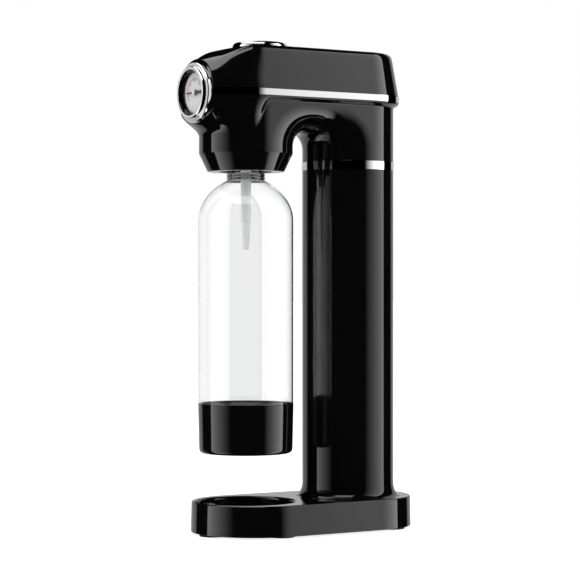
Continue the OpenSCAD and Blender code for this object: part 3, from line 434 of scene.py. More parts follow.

# %% [markdown]
# The bottle is clear PET and the gauge's window is coated against glare. The ring at its neck is clear plastic with a
# dark tint, painted shade that stands in for the dark collar above showing in its thick wall. They are thin, so most
# light goes straight through and only the edges, where the wall is seen along its length, turn dark. A very slight
# waviness keeps the bottle from looking like a lens. Light that a clear piece would focus is slow to trace, so shadows
# and soft light pass through it as if it weren't there.


# %% clear plastics
def clear(name, tint, rough, wave, pale=1.0, bend=1.45):
    """Clear plastic between a tint and a grey level, with its waviness and its index of refraction."""
    f = Finish(name)
    slow = f.noise(22.0, 1.0)
    f.shade(Base_Color=f.mix(slow, tint, (pale, pale, pale, 1)), Roughness=rough * slow)
    f.shade(Transmission_Weight=1.0, IOR=bend)
    f.shade(Normal=f.ripple(slow, wave, 0.0006))
    f.shade(Alpha=1 - f.ray("Shadow").larger(f.ray("Diffuse")))
    return f.material


finishes["clear_bottle"] = clear("clear_bottle", (0.985, 0.99, 0.99, 1), 0.01, 0.02)
# The neck ring's dark tint is painted shade for the dark collar that shows in its thick wall.
finishes["shade_tinted_ring"] = clear("shade_tinted_ring", (0.1, 0.1, 0.1, 1), 0.02, 0.0, 0.5)
finishes["clear_lens"] = clear("clear_window", (0.99, 0.99, 0.99, 1), 0.005, 0.0, bend=1.1)
print("clear bottle, smoky ring and clear window")

# %% [markdown]
# The nozzle is pale, slightly milky plastic. A faint mottling and a moulded sheen are enough at its size.


# %% milky plastic
def milky_plastic():
    """Pale plastic with a faint mottling."""
    f = Finish("milky_plastic")
    mottle = f.noise(120.0, 3.0)
    f.shade(Base_Color=f.mix(mottle, (0.88, 0.89, 0.89, 1), (0.94, 0.95, 0.95, 1)), Roughness=0.3 + 0.1 * mottle)
    f.shade(Normal=f.ripple(mottle, 0.05, 0.0003))
    return f.material


finishes["nozzle_plastic"] = milky_plastic()
print(finishes["nozzle_plastic"].name)

# %% [markdown]
# The gauge's face is a printed disc. It could carry modelled marks, but printing has no height, so the marks are
# worked out from each point's distance and turn about the middle: long and short ticks on the upper arc in red, and a
# fine ring outside them. A tick's width is its angle in degrees times its distance in millimetres. The same distance
# parts the bezel's satin from its polished step and rim, and from its inner wall, which is coloured near black as
# painted shade for the dark recess round the face; it also parts the needle's hub from its blade.

# %% printed dial, bezel and needle
TICK_EVERY = 9.0
TICK_WIDTH = 24.0
TICK_IN = 11.2
LONG_EVERY = 45.0
LONG_WIDTH = 40.0
LONG_IN = 9.4
TICK_OUT = 13.0
SCALE_R = 13.2
SCALE_LINE = 0.22
SCALE_END = 125.0
# Radius inside which the bezel's inner wall is coloured near black: painted shade of the recess round the face.
BEZEL_SHADE_R = 20.6
STEP_BRIGHT = (4.3, 2.8)
RIM_BRIGHT = 0.5
HUB_R = 2.2
HUB_EDGE = 0.1


def about_gauge(f):
    """Distance from the gauge's axis, in millimetres, and turn about it from the top, in degrees."""
    where = f.node("ShaderNodeMapping", {}, {"Vector": f.place(), "Location": (0, 0, -gauge_z * MM)})
    x, z = (f.node("ShaderNodeSeparateXYZ", {}, {"Vector": where}, axis) for axis in "XZ")
    return (x * x + z * z) ** 0.5 / MM, x.turn_from(z) * float(180 / np.pi)


def off_tick(turn, every):
    """How far a turn lies from the nearest tick, in degrees."""
    return abs((turn / every + 0.5).fraction() - 0.5) * every


def printed_dial():
    """Pale paper with a red scale on its upper arc."""
    f = Finish("printed_dial")
    out, turn = about_gauge(f)
    short = (off_tick(turn, TICK_EVERY) * out < TICK_WIDTH) * (out > TICK_IN) * (out < TICK_OUT)
    long = (off_tick(turn, LONG_EVERY) * out < LONG_WIDTH) * (out > LONG_IN) * (out < TICK_OUT)
    ring = abs(out - SCALE_R) < SCALE_LINE
    red = (abs(turn) < SCALE_END) * (short + long + ring)
    mottle = f.noise(300.0, 3.0)
    paper = f.mix(mottle, (0.76, 0.76, 0.755, 1), (0.82, 0.82, 0.815, 1))
    f.shade(Base_Color=f.mix(red, paper, (0.60, 0.24, 0.27, 1)), Roughness=0.5 + 0.1 * mottle)
    return f.material


def satin_bezel():
    """Satin metal with a polished step and rim; its inner wall is coloured near black as painted shade."""
    f = Finish("satin_bezel")
    out, _ = about_gauge(f)
    # Painted shade: inside this radius the inner wall is coloured near black for the shaded recess round the face.
    inside = out < BEZEL_SHADE_R
    step = (out > bezel_high[0] - STEP_BRIGHT[0]) * (out < bezel_high[0] - STEP_BRIGHT[1])
    bare = inside + step + (out > bezel_high[0] - RIM_BRIGHT)
    grain = f.noise(400.0, 3.0)
    f.shade(Base_Color=f.mix(inside, (0.92, 0.92, 0.93, 1), (0.008, 0.008, 0.009, 1)))
    f.shade(Metallic=0.25 + 0.75 * bare, Roughness=0.1 + (1 - bare) * (0.12 + 0.14 * grain))
    return f.material


def needle_paint():
    """Black paint round a bright hub."""
    f = Finish("needle_paint")
    out, _ = about_gauge(f)
    tone = f.mix(out < HUB_R + HUB_EDGE, (0.006, 0.006, 0.007, 1), (0.82, 0.82, 0.83, 1))
    f.shade(Base_Color=tone, Roughness=0.45 + 0.15 * f.noise(500.0, 2.0))
    return f.material


finishes["dial_face"] = printed_dial()
finishes["satin_bezel"] = satin_bezel()
finishes["needle_black"] = needle_paint()
print("printed dial, satin bezel and needle")

# %% [markdown]
# The base is a shell with a flat top, a round front and a round back, and a well under the bottle that catches drips.
# It could be cut from a block, but one sheet does it: rows go up the outside wall, over a soft edge, across the top to
# the rim of the well, down its wall and over its floor. The columns follow the outline and point at the well's middle.

# %% base with its well
BASE_WALL = 1.5
BASE_DRAFT = 0.5
BASE_FOOT = 0.4
BASE_EDGE = 1.2
SIDE_POINTS = 40
WELL_RADIUS = 44.4
WELL_LIP = 2.5
WELL_CORNER = 2.5
WELL_DEPTH = 14.0
CYLINDER_HOLE = 31.2

base_r = base_high[0] - BASE_DRAFT
base_top = base_high[2]
base_front = base_low[1] + base_high[0]


def stadium(count=400):
    """Points and outward directions round two half circles joined by straight sides, at the base's radius."""
    a = np.linspace(-np.pi / 2, 1.5 * np.pi, count + 1)
    out = points_at(np.cos(a), np.sin(a))
    middle = np.where(np.sin(a) > 1e-9, column_y, base_front)
    place = points_at(base_r * np.cos(a), middle + base_r * np.sin(a))
    first, second = np.searchsorted(a, 0.0), np.searchsorted(a, np.pi)
    straight = np.tile([1.0, 0.0], (SIDE_POINTS, 1))
    side = base_r * straight + np.linspace([0, base_front], [0, column_y], SIDE_POINTS)
    points = [place[:first], side, place[first + 1 : second], side[::-1] * [-1, 1], place[second + 1 :]]
    ways = [out[:first], straight, out[first + 1 : second], -straight, out[second + 1 :]]
    return np.concatenate(points), np.concatenate(ways)


def base_sheet():
    """Rows of the outline moved in or out, then rows of the well's circle at the same turn about its middle."""
    points, ways = stadium()
    wall = rounded(
        (-BASE_WALL, base_low[2], 0),
        (BASE_DRAFT, base_low[2], BASE_FOOT),
        (0, base_top, BASE_EDGE),
        (-BASE_EDGE - 0.5, base_top, 0),
    )
    well_floor = base_top - WELL_DEPTH
    well = rounded(
        (WELL_RADIUS + WELL_LIP + 0.2, base_top, 0),
        (WELL_RADIUS, base_top, WELL_LIP),
        (WELL_RADIUS, well_floor, WELL_CORNER),
        (0, well_floor, 0),
        hold=0.1,
    )
    outer = points + wall[:, :1, None] * ways
    inner = [0, bottle_y] + well[:, :1, None] * unit(points - [0, bottle_y])
    return np.concatenate([raised(outer, wall), raised(inner, well)])


skin("base_shell", [base_sheet()], wall=BASE_WALL, bore=drill(CYLINDER_HOLE, base_top, column_y))

# %% [markdown]
# The column is one long tube that flares into the base with a hollow curve, so that the joint looks grown and wipes
# clean. A tube with a separate foot ring would need a blend between them; a single turned section has it already, as
# a quarter of an ellipse. The bright ring on top of it is a plated sleeve that joins column and head.

# %% column and its ring
FOOT_FLARE = 6.5
FOOT_RISE = 13.0
FOOT_LIP = 0.15
LOW_RING = 1.2
COLUMN_WALL = 3.0
COLUMN_TURNS = 240
RING_HEIGHT = 7.7
SLEEVE_WALL = 2.9
SLEEVE_FIT = 0.1

column_r = tube_high[0] - FOOT_FLARE
column_top = tube_high[2] - LOW_RING
tube_in = column_r - COLUMN_WALL
foot_z = tube_low[2]
swing = np.radians(np.linspace(0, 90, 22))
flare_z = foot_z + FOOT_LIP + FOOT_RISE * (1 - np.cos(swing))
flare = points_at(column_r + FOOT_FLARE * (1 - np.sin(swing)), flare_z)
rim = rounded((column_r, foot_z + FOOT_RISE + 1, 0), (column_r, column_top, 0.4), (tube_in, column_top, 0))
tube = np.concatenate([[[tube_in, foot_z], [tube_high[0], foot_z]], flare, rim, [[tube_in, foot_z]]])
skin("column_tube", [turned(tube, column_y, COLUMN_TURNS)], finish="painted_tube")

ring_top = column_top + RING_HEIGHT
sleeve_r = tube_in - SLEEVE_FIT
sleeve = rounded(
    (sleeve_r - SLEEVE_WALL, ring_low[2], 0),
    (sleeve_r, ring_low[2], 0.3),
    (sleeve_r, column_top, 0),
    (ring_high[0], column_top, 0),
    (ring_high[0], ring_top, 0),
    (sleeve_r, ring_top, 0),
    (sleeve_r, ring_high[2], 0.3),
    (sleeve_r - SLEEVE_WALL, ring_high[2], 0),
    closed=True,
)
skin("column_ring", [turned(sleeve, column_y, COLUMN_TURNS)])

# %% [markdown]
# The head's outline, seen from above, is the same for its lower shell, its bright strip and its cover: a round gauge
# nose that widens with an easing curve into straight sides and a round back. It is worked out once, as points along
# its right side.

# %% outline of the head
NOSE_R = 28.0
NOSE_BLEND = 8.0
NOSE_RISE = 1.8
NOSE_EASE = 1.2
NOSE_START = 0.15

blend_y = bottle_y - NOSE_BLEND


def nose_width(u):
    """Half width of the nose, from the gauge's radius to the head's, easing out as u goes from 0 to 1."""
    return NOSE_R + (head_w - NOSE_R) * (1 - (1 - u) ** 2)


def head_outline(count=48):
    """Half widths and places along the right side of the nose, then the straight side to the column's axis."""
    u = np.linspace(0, 1, count)
    nose = points_at(nose_width(u), nose_y + (blend_y - nose_y) * u)
    side_y = np.linspace(blend_y, column_y, 10)[1:]
    return np.concatenate([nose, points_at(head_w, side_y)])


print("outline points on one side:", len(head_outline()))

# %% [markdown]
# The lower shell joins three things: the collar over the bottle, the neck on the column and the bridge between them,
# whose underside is an arch. Booleans of cylinders would leave creases, so the skin is five sheets that share their
# edges. The arch sheet is a half circle at the collar and the neck, and a flatter curve over the middle. The lip under
# the nose has a height where it starts and one where it ends, at the chin and at the cheeks.

# %% sizes of the lower shell
COLLAR_RIM = 34.7
COLLAR_CONE = 16.3
COLLAR_MOUTH = 24.0
SHOULDER = 4.4
ARCH_FLARE = 24.8
ARCH_POINT = 0.1
NECK_RISE = 10.0 + LOW_RING
ROUND_STEP = 1.5
SHELL_WALL = 2.0
MOUTH_EDGE = 2.6
LIP_ROWS = 36
LIP_EDGE = 0.8
LIP_SOFT = 0.6
GAUGE_LAP = 2.0

collar_r = column_r
collar_z = head_low[2]
strip_z = strip_low[2]
arch_z = ring_top + NECK_RISE
arch_y = (bottle_y + column_y) / 2
half_gap = (column_y - bottle_y) / 2
shoulder_z = strip_z - SHOULDER
flank_rows = np.linspace(0, 1, 14)[1:, None]
half_turn = np.radians(np.arange(-90, 90 + ROUND_STEP / 2, ROUND_STEP))


def eased(t):
    """0 to 1 with a soft start and a soft end."""
    t = np.clip(t, 0, 1)
    return t * t * (3 - 2 * t)


def lip_path(top_r, high_z, low_z):
    """Rows of r + z i from the strip down to low_z: between high_z and low_z the radius eases from the outline's to
    the collar's."""
    z = strip_z + (low_z - strip_z) * np.linspace(0, 1, LIP_ROWS)[:, None]
    return collar_r + (top_r - collar_r) * eased((z - low_z) / (high_z - low_z)) + 1j * z


def down_flank(lip):
    """Radii and heights of a lip and of the flank that goes on below it to where the arch springs."""
    r = np.concatenate([lip.real, np.full((len(flank_rows), lip.shape[1]), collar_r)])
    z = np.concatenate([lip.imag, lip.imag[-1] + (arch_z - lip.imag[-1]) * flank_rows])
    return r, z


side_high, side_low = strip_z - LIP_EDGE, shoulder_z - LIP_SOFT
side_lip = lip_path(np.array([head_w]), side_high, side_low)
print("arch springs at", round(arch_z, 1), "and the shoulder starts at", round(shoulder_z, 1))


# %% sheets of the lower shell
CHIN = np.array([371.0, 360.0])
CHEEK = np.array([380.0, 359.0])
CHEEK_TURN = 32.0
SIDE_TURNS = np.array([[34.0, 62.0], [66.0, 90.0]])


def front_sheet():
    """Round the front of the collar: each turn about the bottle's axis has a lip that eases in from the outline. It is
    long and low at the chin under the gauge, a little higher at the cheeks, and short at the sides."""
    edge = head_outline()
    edge = np.concatenate([[[0, nose_y]], edge[edge[:, 1] <= bottle_y], [[head_w, bottle_y]]])
    fine = np.linspace(0, 1, 2000)
    steps = np.linspace(0, 1, len(edge))
    edge_x, edge_y = np.interp(fine, steps, edge[:, 0]), np.interp(fine, steps, edge[:, 1])
    edge_d = bottle_y - edge_y
    top_r = np.interp(abs(half_turn), np.arctan2(edge_x, edge_d), np.hypot(edge_x, edge_d))
    degrees = np.degrees(abs(half_turn))
    front = CHIN[:, None] + (CHEEK - CHIN)[:, None] * eased(degrees / CHEEK_TURN)
    side = eased((degrees - SIDE_TURNS[:, :1]) / np.diff(SIDE_TURNS))
    high_z, low_z = front + (np.array([[side_high], [side_low]]) - front) * side
    r, z = down_flank(lip_path(top_r, high_z, low_z))
    return points_at(r * np.sin(half_turn), bottle_y - r * np.cos(half_turn), z)


def arch_sheet():
    """Lip, flank, arch, flank and lip, for each turn t over the arch from the collar to the neck: the arch's depth is
    its flare plus the rest times cos t squared, and its section is an ellipse, a little pointed in the middle."""
    t = np.radians(np.linspace(0, 180, 91))
    depth = ARCH_FLARE + (collar_r - ARCH_FLARE) * np.cos(t) ** 2
    f = half_turn[:, None]
    point = 1 / (1 - ARCH_POINT * np.sin(t) ** 2)
    across = np.sign(f) * abs(np.sin(f)) ** point
    out = half_gap - collar_r + depth * (1 - np.maximum(np.cos(f), 0) ** point)
    arch = points_at(collar_r * across, arch_y - out * np.cos(t), arch_z + out * np.sin(t))
    foot = arch[-1]
    top_y = arch_y - half_gap * np.cos(t)
    lip = points_at(side_lip.real, top_y, side_lip.imag)
    flank = lip[-1] + (foot - lip[-1]) * flank_rows[:, :, None]
    side = np.concatenate([lip, flank])
    return np.concatenate([side * [-1, 1, 1], arch[1:-1], side[::-1]])


def back_sheet():
    """Half a turn of the lip and the flank round the column's axis."""
    a = np.radians(np.arange(0, 180 + ROUND_STEP / 2, ROUND_STEP))
    r, z = down_flank(side_lip)
    return points_at(r * np.cos(a), column_y + r * np.sin(a), z)


def in_gauge(middle):
    """True for points of the nose's front that the gauge covers."""
    far = np.hypot(middle[:, 0], middle[:, 2] - gauge_z)
    return (far < NOSE_R - GAUGE_LAP) & (middle[:, 1] < nose_y + GAUGE_LAP)


rounds = int(360 / ROUND_STEP)
collar = rounded(
    (COLLAR_MOUTH, collar_z + MOUTH_EDGE, 0),
    (COLLAR_MOUTH, collar_z, 0.5),
    (COLLAR_RIM, collar_z, 0.8),
    (collar_r, collar_z + COLLAR_CONE, 1.2),
    (collar_r, arch_z, 0),
)
neck = rounded((collar_r - SHELL_WALL, ring_top, 0), (collar_r, ring_top, 0.35), (collar_r, arch_z, 0))
sheets = [front_sheet(), arch_sheet(), back_sheet()]
sheets += [turned(collar, bottle_y, rounds), turned(neck, column_y, rounds)]
skin("head_lower", sheets, wall=SHELL_WALL, opening=in_gauge, sharp=40)

# %% [markdown]
# The cover is the upper shell. Its section has sides that lean in and a flat top, with a soft edge between them: the
# polar radius is a power mean of a sloping line and a level line. Towards the gauge the section turns into a half
# circle, and at the back it is carried round the column's axis.

# %% cover of the head
COVER_TOP_W = 40.5
EDGE_POWER = 20
EDGE_TURNS = np.linspace(36, 58, 45)
GAUGE_HOLE = 25.0
NOSE_EDGE = 0.6
BUTTON_HOLE = 22.6

strip_top = strip_high[2]
cover_h = cover_high[2] - strip_top
cover_taper = (head_w - COVER_TOP_W) / cover_h
around = np.union1d(np.linspace(0, 90, 31), EDGE_TURNS)
around = np.radians(np.concatenate([around, 180 - around[-2::-1]]))


def cover_section(b):
    """Half width and height of the section at polar angle b from the strip."""
    up, out = np.sin(b), abs(np.cos(b))
    side, top = head_w / (out + cover_taper * up), cover_h / np.maximum(up, 0.02)
    r = (side**-EDGE_POWER + top**-EDGE_POWER) ** (-1 / EDGE_POWER)
    return r * np.cos(b), r * up


def cover_nose():
    """Rows from the gauge to the full section, as u goes from 0 to 1, with a soft front edge before them."""
    a = np.linspace(0, np.pi / 2, 6)
    edge_y, inset = NOSE_EDGE * (1 - np.cos(a)), NOSE_EDGE * (1 - np.sin(a))
    length = blend_y - nose_y
    rows = np.linspace(0, 1, 60)[1:]
    u = np.concatenate([[0], edge_y / length, rows])[:, None]
    inset = np.concatenate([[NOSE_R - GAUGE_HOLE], inset, 0 * rows])[:, None]
    high = 1 - (1 - NOSE_START) * (1 - u**NOSE_EASE) ** NOSE_RISE
    x, up = cover_section(around)
    half = nose_width(u) - inset
    nose_x = half * (u * x / head_w + (1 - u) * np.cos(around))
    nose_up = (1 - high) * (NOSE_R - inset - (strip_top - gauge_z)) * np.sin(around) + high * up
    return points_at(nose_x, nose_y + length * u, strip_top + nose_up)


def cover_side():
    """The section carried straight to the column's axis."""
    y = np.linspace(blend_y, column_y, 40)[:, None]
    x, up = cover_section(around)
    return points_at(x, y, strip_top + up)


def cover_back():
    """Half the section carried round the column's axis."""
    half = around[: len(around) // 2 + 1]
    a = np.linspace(0, np.pi, 121)[:, None]
    x, up = cover_section(half)
    return points_at(x * np.cos(a), column_y + x * np.sin(a), strip_top + up)


hole = drill(BUTTON_HOLE, cover_high[2], button_y)
skin("head_upper", [cover_nose(), cover_side(), cover_back()], wall=SHELL_WALL, bore=hole)

# %% [markdown]
# The bright strip runs between the two shells and stands a hair proud of them. A thin section with crisp corners is
# carried along the outline, moved out along its outward directions, and capped where it meets the gauge.

# %% bright strip
STRIP_DEPTH = 3.4

strip_proud = strip_high[0] - head_w


def strip_path():
    """The whole outline from the gauge's right side round the back to its left side, with outward directions."""
    edge = head_outline()
    a = np.linspace(0, np.pi, 121)[1:-1]
    back = points_at(head_w * np.cos(a), column_y + head_w * np.sin(a))
    path = np.concatenate([edge, back, edge[::-1] * [-1, 1]])
    along = unit(np.gradient(path, axis=0))
    return path, points_at(along[:, 1], -along[:, 0])


section = slab(strip_proud - STRIP_DEPTH, strip_proud, strip_z, strip_top, closed=True)
path, ways = strip_path()
band = raised(path + section[:, :1, None] * ways, section)
ends = band.mean(0, keepdims=True)[:, [0, -1]] + 0 * band[:, [0, -1]]
skin("trim_strip", [np.concatenate([ends[:, :1], band, ends[:, 1:]], 1)])

# %% [markdown]
# The button is a plated cap in a plated ring. Pressing it works the gas valve through a lever inside the head. Both
# are turned: the ring's outside falls away like a quarter of an ellipse, and the cap has a soft edge and a shallow
# dish for the fingertip.

# %% push button
CAP_EDGE = 1.5
CAP_SHELL = 2.4
CAP_DISH = 0.5
CAP_GAP = 0.3
STEM_BORE = 3.55
BOSS_WALL = 2.2
BOSS_ROOF = 1.7
RING_FALL = 3.1
RING_FOOT = 1.0
LOW_SET = 1.0

press_z, press_top = press_low[2], press_high[2] - LOW_SET
cap_r, cap_top = cap_high[0], cap_high[2] - LOW_SET
fall = np.radians(np.linspace(12, 90, 14))
ring_in, ring_r = cap_r + CAP_GAP, press_high[0]
dome_up = press_z + RING_FOOT + (press_top - press_z - RING_FOOT) * np.sin(fall)
dome = points_at(ring_r - RING_FALL + RING_FALL * np.cos(fall), dome_up)
foot = rounded((ring_in, press_z, 0), (ring_r, press_z, 0.15), (ring_r, press_z + 0.9, 0))
inner = np.array([[ring_in, press_top - 0.5], [ring_in, press_z]])
skin("button_ring", [turned(np.concatenate([foot, dome, inner]), button_y)])

dish = np.linspace(0, cap_r - CAP_EDGE - 0.4, 24)
dish = points_at(dish, cap_top - CAP_DISH * (1 - (dish / dish[-1]) ** 2) ** 2)
skirt = rounded(
    (cap_r - CAP_EDGE - 0.3, cap_top, 0),
    (cap_r, cap_top, CAP_EDGE),
    (cap_r, cap_low[2], 0.3),
    (cap_r - CAP_SHELL, cap_low[2], 0.3),
    (cap_r - CAP_SHELL, cap_top - CAP_SHELL, 1.0),
    (STEM_BORE + BOSS_WALL, cap_top - CAP_SHELL, 1.0),
    (STEM_BORE + BOSS_WALL, cap_low[2], 0.2),
    (STEM_BORE, cap_low[2], 0),
    (STEM_BORE, cap_top - CAP_SHELL - BOSS_ROOF, 0),
    (0, cap_top - CAP_SHELL - BOSS_ROOF, 0),
)
skin("button_cap", [turned(np.concatenate([dish, skirt]), button_y)])

# %% [markdown]
# The return spring under the cap is a wire on a helix. A rigid one would stick through the pressed cap, so the share of
# its length that it keeps when the button is pressed is worked out from the joint's travel.

# %% return spring
SPRING_WIRE = 0.7
SPRING_TURNS = 5
SPRING_GAP = 0.1

spring_low, spring_high = span("button_spring")
spring_top = cap_top - CAP_SHELL - SPRING_GAP


def spring_wire(rows=300, sides=12):
    """A wire of radius w on a helix of radius R: ((R + w cos b) cos a, (R + w cos b) sin a, rise + w sin b)."""
    t = np.linspace(0, 1, rows)[:, None]
    a, b = 2 * np.pi * SPRING_TURNS * t, np.linspace(0, 2 * np.pi, sides + 1)
    w = SPRING_WIRE * np.where((t == 0) | (t == 1), 0, 1)
    r = spring_high[0] - SPRING_WIRE + w * np.cos(b)
    rise = spring_low[2] + SPRING_WIRE + (spring_top - spring_low[2] - 2 * SPRING_WIRE) * t
    return points_at(r * np.cos(a), button_y + r * np.sin(a), rise + w * np.sin(b))


spring = skin("button_spring", [spring_wire()], sharp=60)
travel = next(joint["range_m"][1] / MM for joint in frame["joints"] if joint["name"] == "button_press")
left = 1 - travel / (spring_top - spring_low[2])
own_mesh(spring)
print("the pressed spring keeps", round(left, 2), "of its length")

# %% [markdown]
# The gauge shows the pressure in the bottle. Its bezel is a stepped satin ring: a broad flange with a soft edge, a
# groove, and a raised lip that holds the window. Behind the window lies the printed face. All three are turned about
# the gauge's own level axis.

# %% gauge
LENS_R = 19.7
LENS_FIT = 0.1
LENS_SEAT = 4.0
DIAL_R = 17.6
DIAL_HOLE = 1.3
CASE_R = 22.7
CASE_OUT = 1.6
FLANGE_OUT = 4.6
GROOVE_OUT = 4.2
GROOVE_IN = 3.0
LIP_IN = 3.6
LIP_ROUND = 1.3


def stands_out(node):
    """How far a node's front and back stand out of the nose, and its half width, in millimetres."""
    low, high = span(node)
    return nose_y - low[1], nose_y - high[1], high[0]


bezel_d, _, bezel_r = stands_out("gauge_bezel")
bezel = rounded(
    (DIAL_R + 0.2, CASE_OUT, 0),
    (CASE_R, CASE_OUT, 0),
    (CASE_R, 0, 0),
    (bezel_r, 0, 0.2),
    (bezel_r, FLANGE_OUT, 1.2),
    (bezel_r - GROOVE_IN, GROOVE_OUT, 0.6),
    (bezel_r - LIP_IN, bezel_d, LIP_ROUND),
    (LENS_R + LENS_FIT, bezel_d, LIP_ROUND),
    (LENS_R + LENS_FIT, LENS_SEAT, 0),
    (LENS_R - 1.0, LENS_SEAT, 0.3),
    closed=True,
)
skin("gauge_bezel", [faced(bezel)], finish="satin_bezel")
window_out, window_in, _ = stands_out("gauge_lens")
skin("gauge_lens", [faced(slab(0, LENS_R, window_out, window_in, (0.3, 0.2)))])
face_out, face_in, face_r = stands_out("gauge_dial")
skin("gauge_dial", [faced(slab(DIAL_HOLE, face_r, face_out, face_in, (0.1, 0.1), closed=True))])

# %% [markdown]
# The needle is a thin blade on a shaft. Its pointer tapers to the tip, and behind the bright hub a flared tail
# balances it. Straight lines between a few places along the blade give its half width.

# %% needle
BLADE = np.array([[-14.5, 0.3], [-2.2, 0.9], [1.8, 1.2], [2.8, 2.6], [5.6, 1.2], [12.4, 1.3]])
BLADE_THICK = 0.8
HUB_THICK = 0.6
SHAFT_R = 0.9

hub_out, shaft_out, _ = stands_out("gauge_needle")
blade_out = hub_out - HUB_THICK


def blade_sheet(rows=120):
    """Rectangles of half width w(s) and the blade's thickness along s, closed to a point at both ends."""
    s = np.linspace(BLADE[0, 0], BLADE[-1, 0], rows)
    s, whole = np.repeat(s, [2] + [1] * (rows - 2) + [2])[:, None], np.ones((rows + 2, 1))
    whole[[0, -1]] = 0
    across, through = np.array([[-1, 1, 1, -1, -1], [0.5, 0.5, -0.5, -0.5, 0.5]])
    wide = whole * np.interp(s, BLADE[:, 0], BLADE[:, 1]) * across
    y = nose_y - blade_out + BLADE_THICK * (0.5 - whole * through)
    return points_at(s, y, gauge_z + wide)


hub = slab(0, HUB_R, hub_out, blade_out, (0.3, 0))
shaft = slab(0, SHAFT_R, blade_out - BLADE_THICK, shaft_out, (0, 0.1))
skin("gauge_needle", [blade_sheet(), faced(hub, 48), faced(shaft, 32)])

# %% [markdown]
# The nozzle brings the gas into the water. It is a slim tube in two steps that tapers towards its tip, so it leaves
# the mould and the bottle's neck with ease. Its section is turned about the bottle's axis.

# %% nozzle
NOZZLE_BORE = 1.3
TIP_R = 3.0
TIP_LENGTH = 24.0
STEM_TAPER = 27.0

tip_z, tip_top, tip_r = tip_low[2], tip_high[2], tip_high[0]
tube = rounded(
    (NOZZLE_BORE, tip_z, 0),
    (TIP_R - 0.5, tip_z, 0.4),
    (TIP_R, tip_z + 0.8, 0.4),
    (tip_r - 0.7, tip_z + TIP_LENGTH, 0.2),
    (tip_r - 0.3, tip_z + TIP_LENGTH + 0.6, 0.2),
    (tip_r, tip_z + TIP_LENGTH + STEM_TAPER, 1.0),
    (tip_r, tip_top, 0.3),
    (NOZZLE_BORE, tip_top, 0),
    closed=True,
)
skin("nozzle", [turned(tube, bottle_y, 96)])

# %% [markdown]
# The bottle is one blown shell: a straight body, a domed shoulder that is part of a long ellipse, and a threaded mouth
# that goes up into the collar. Outside and inside are one closed section, because clear plastic needs a real wall for
# light to bend in. A black cup stands under it, and a clear ring, tinted dark as painted shade, sits at its neck.

# %% bottle, cup and neck ring
BOTTLE_WALL = 1.0
BOTTLE_FOOT = 8.0
BOTTLE_KNEE = 12.0
BOTTLE_FLOOR = 4.0
DOME_HEIGHT = 36.0
DOME_BULGE = 20.0
NECK_R = 17.2
THROAT_HEIGHT = 6.6
THROAT_STEP = 0.8
MOUTH_R = 14.6
MOUTH_WALL = 0.4 + BOTTLE_WALL
MOUTH_HEIGHT = 18.0
THREAD_RINGS = 3
THREAD_START = 3.0
THREAD_PITCH = 4.0
THREAD_DEPTH = 1.2
CUP_WALL = 1.2
CUP_DRAFT = 1.0
CUP_RIM = 3.0
GRIP_FIT = 0.85
GRIP_BEVEL = (0.6, 0.9)
GROOVE_HALF = 0.6
GROOVE_DEEP = 0.7

bottle_r, cup_r = bottle_high[0], cup_high[0]
mouth_top = bottle_high[2]
mouth_z = mouth_top - MOUTH_HEIGHT
cup_z, cup_top = cup_low[2], cup_high[2]
dome_top = mouth_z - THROAT_HEIGHT
dome_z = dome_top - DOME_HEIGHT
cup_in = cup_r - CUP_DRAFT - CUP_WALL
foot_r = cup_in - 0.3


def dome_path(r, height):
    """Part of a long ellipse whose middle lies past the bottle's axis, from the body up to the neck."""
    end = np.arccos((NECK_R + DOME_BULGE) / (bottle_r + DOME_BULGE))
    a = np.linspace(0, end, 36)
    rise = height / np.sin(end) * np.sin(a)
    return points_at((r + DOME_BULGE) * np.cos(a) - DOME_BULGE, dome_z + rise)


def thread_path():
    """The outside of the mouth, with its raised rings of thread."""
    ring = np.array([[0, 0], [THREAD_DEPTH, 0.8], [THREAD_DEPTH, 1.6], [0, 2.4]])
    starts = mouth_z + THREAD_START + THREAD_PITCH * np.arange(THREAD_RINGS)
    path = ring[None] + points_at(MOUTH_R, starts)[:, None]
    return path.reshape(-1, 2)


body = rounded(
    (0, bottle_low[2], 0),
    (foot_r, bottle_low[2], BOTTLE_FOOT),
    (foot_r + CUP_DRAFT, cup_top - CUP_RIM - 1, 0.2),
    (bottle_r, cup_top - CUP_RIM, 0.2),
    (bottle_r, dome_z - 0.5, 0),
)
throat_r, mouth_in, body_in = MOUTH_R + THROAT_STEP, MOUTH_R - MOUTH_WALL, bottle_r - BOTTLE_WALL
throat = np.array([[throat_r, dome_top], [throat_r, mouth_z], [MOUTH_R, mouth_z]])
lip = np.array([[MOUTH_R, mouth_top], [mouth_in, mouth_top], [mouth_in, dome_top]])
inside = rounded(
    (body_in, dome_z - 0.5, 0),
    (body_in, cup_top - CUP_RIM + 1, 0.5),
    (foot_r - BOTTLE_WALL, cup_z + BOTTLE_KNEE, 2),
    (foot_r - BOTTLE_FOOT - BOTTLE_WALL, cup_z + BOTTLE_FLOOR, 4),
    (0, cup_z + BOTTLE_FLOOR, 0),
)
dome_out, dome_in = dome_path(bottle_r, DOME_HEIGHT), dome_path(body_in, DOME_HEIGHT - BOTTLE_WALL)
shell = np.concatenate([body, dome_out, throat, thread_path(), lip, dome_in[::-1], inside])
skin("bottle_shell", [turned(shell, bottle_y)], sharp=50)

cup = rounded(
    (0, cup_z, 0),
    (cup_r - CUP_DRAFT, cup_z, 4.0),
    (cup_r, cup_top, 0.1),
    (bottle_r + 0.05, cup_top, 0),
    (bottle_r + 0.05, cup_top - CUP_RIM + 0.2, 0),
    (cup_in, cup_z + 5, 3.0),
    (cup_in - 4, cup_z + CUP_WALL, 3.0),
    (0, cup_z + CUP_WALL, 0),
    hold=0.1,
)
skin("bottle_cup", [turned(cup, bottle_y)])

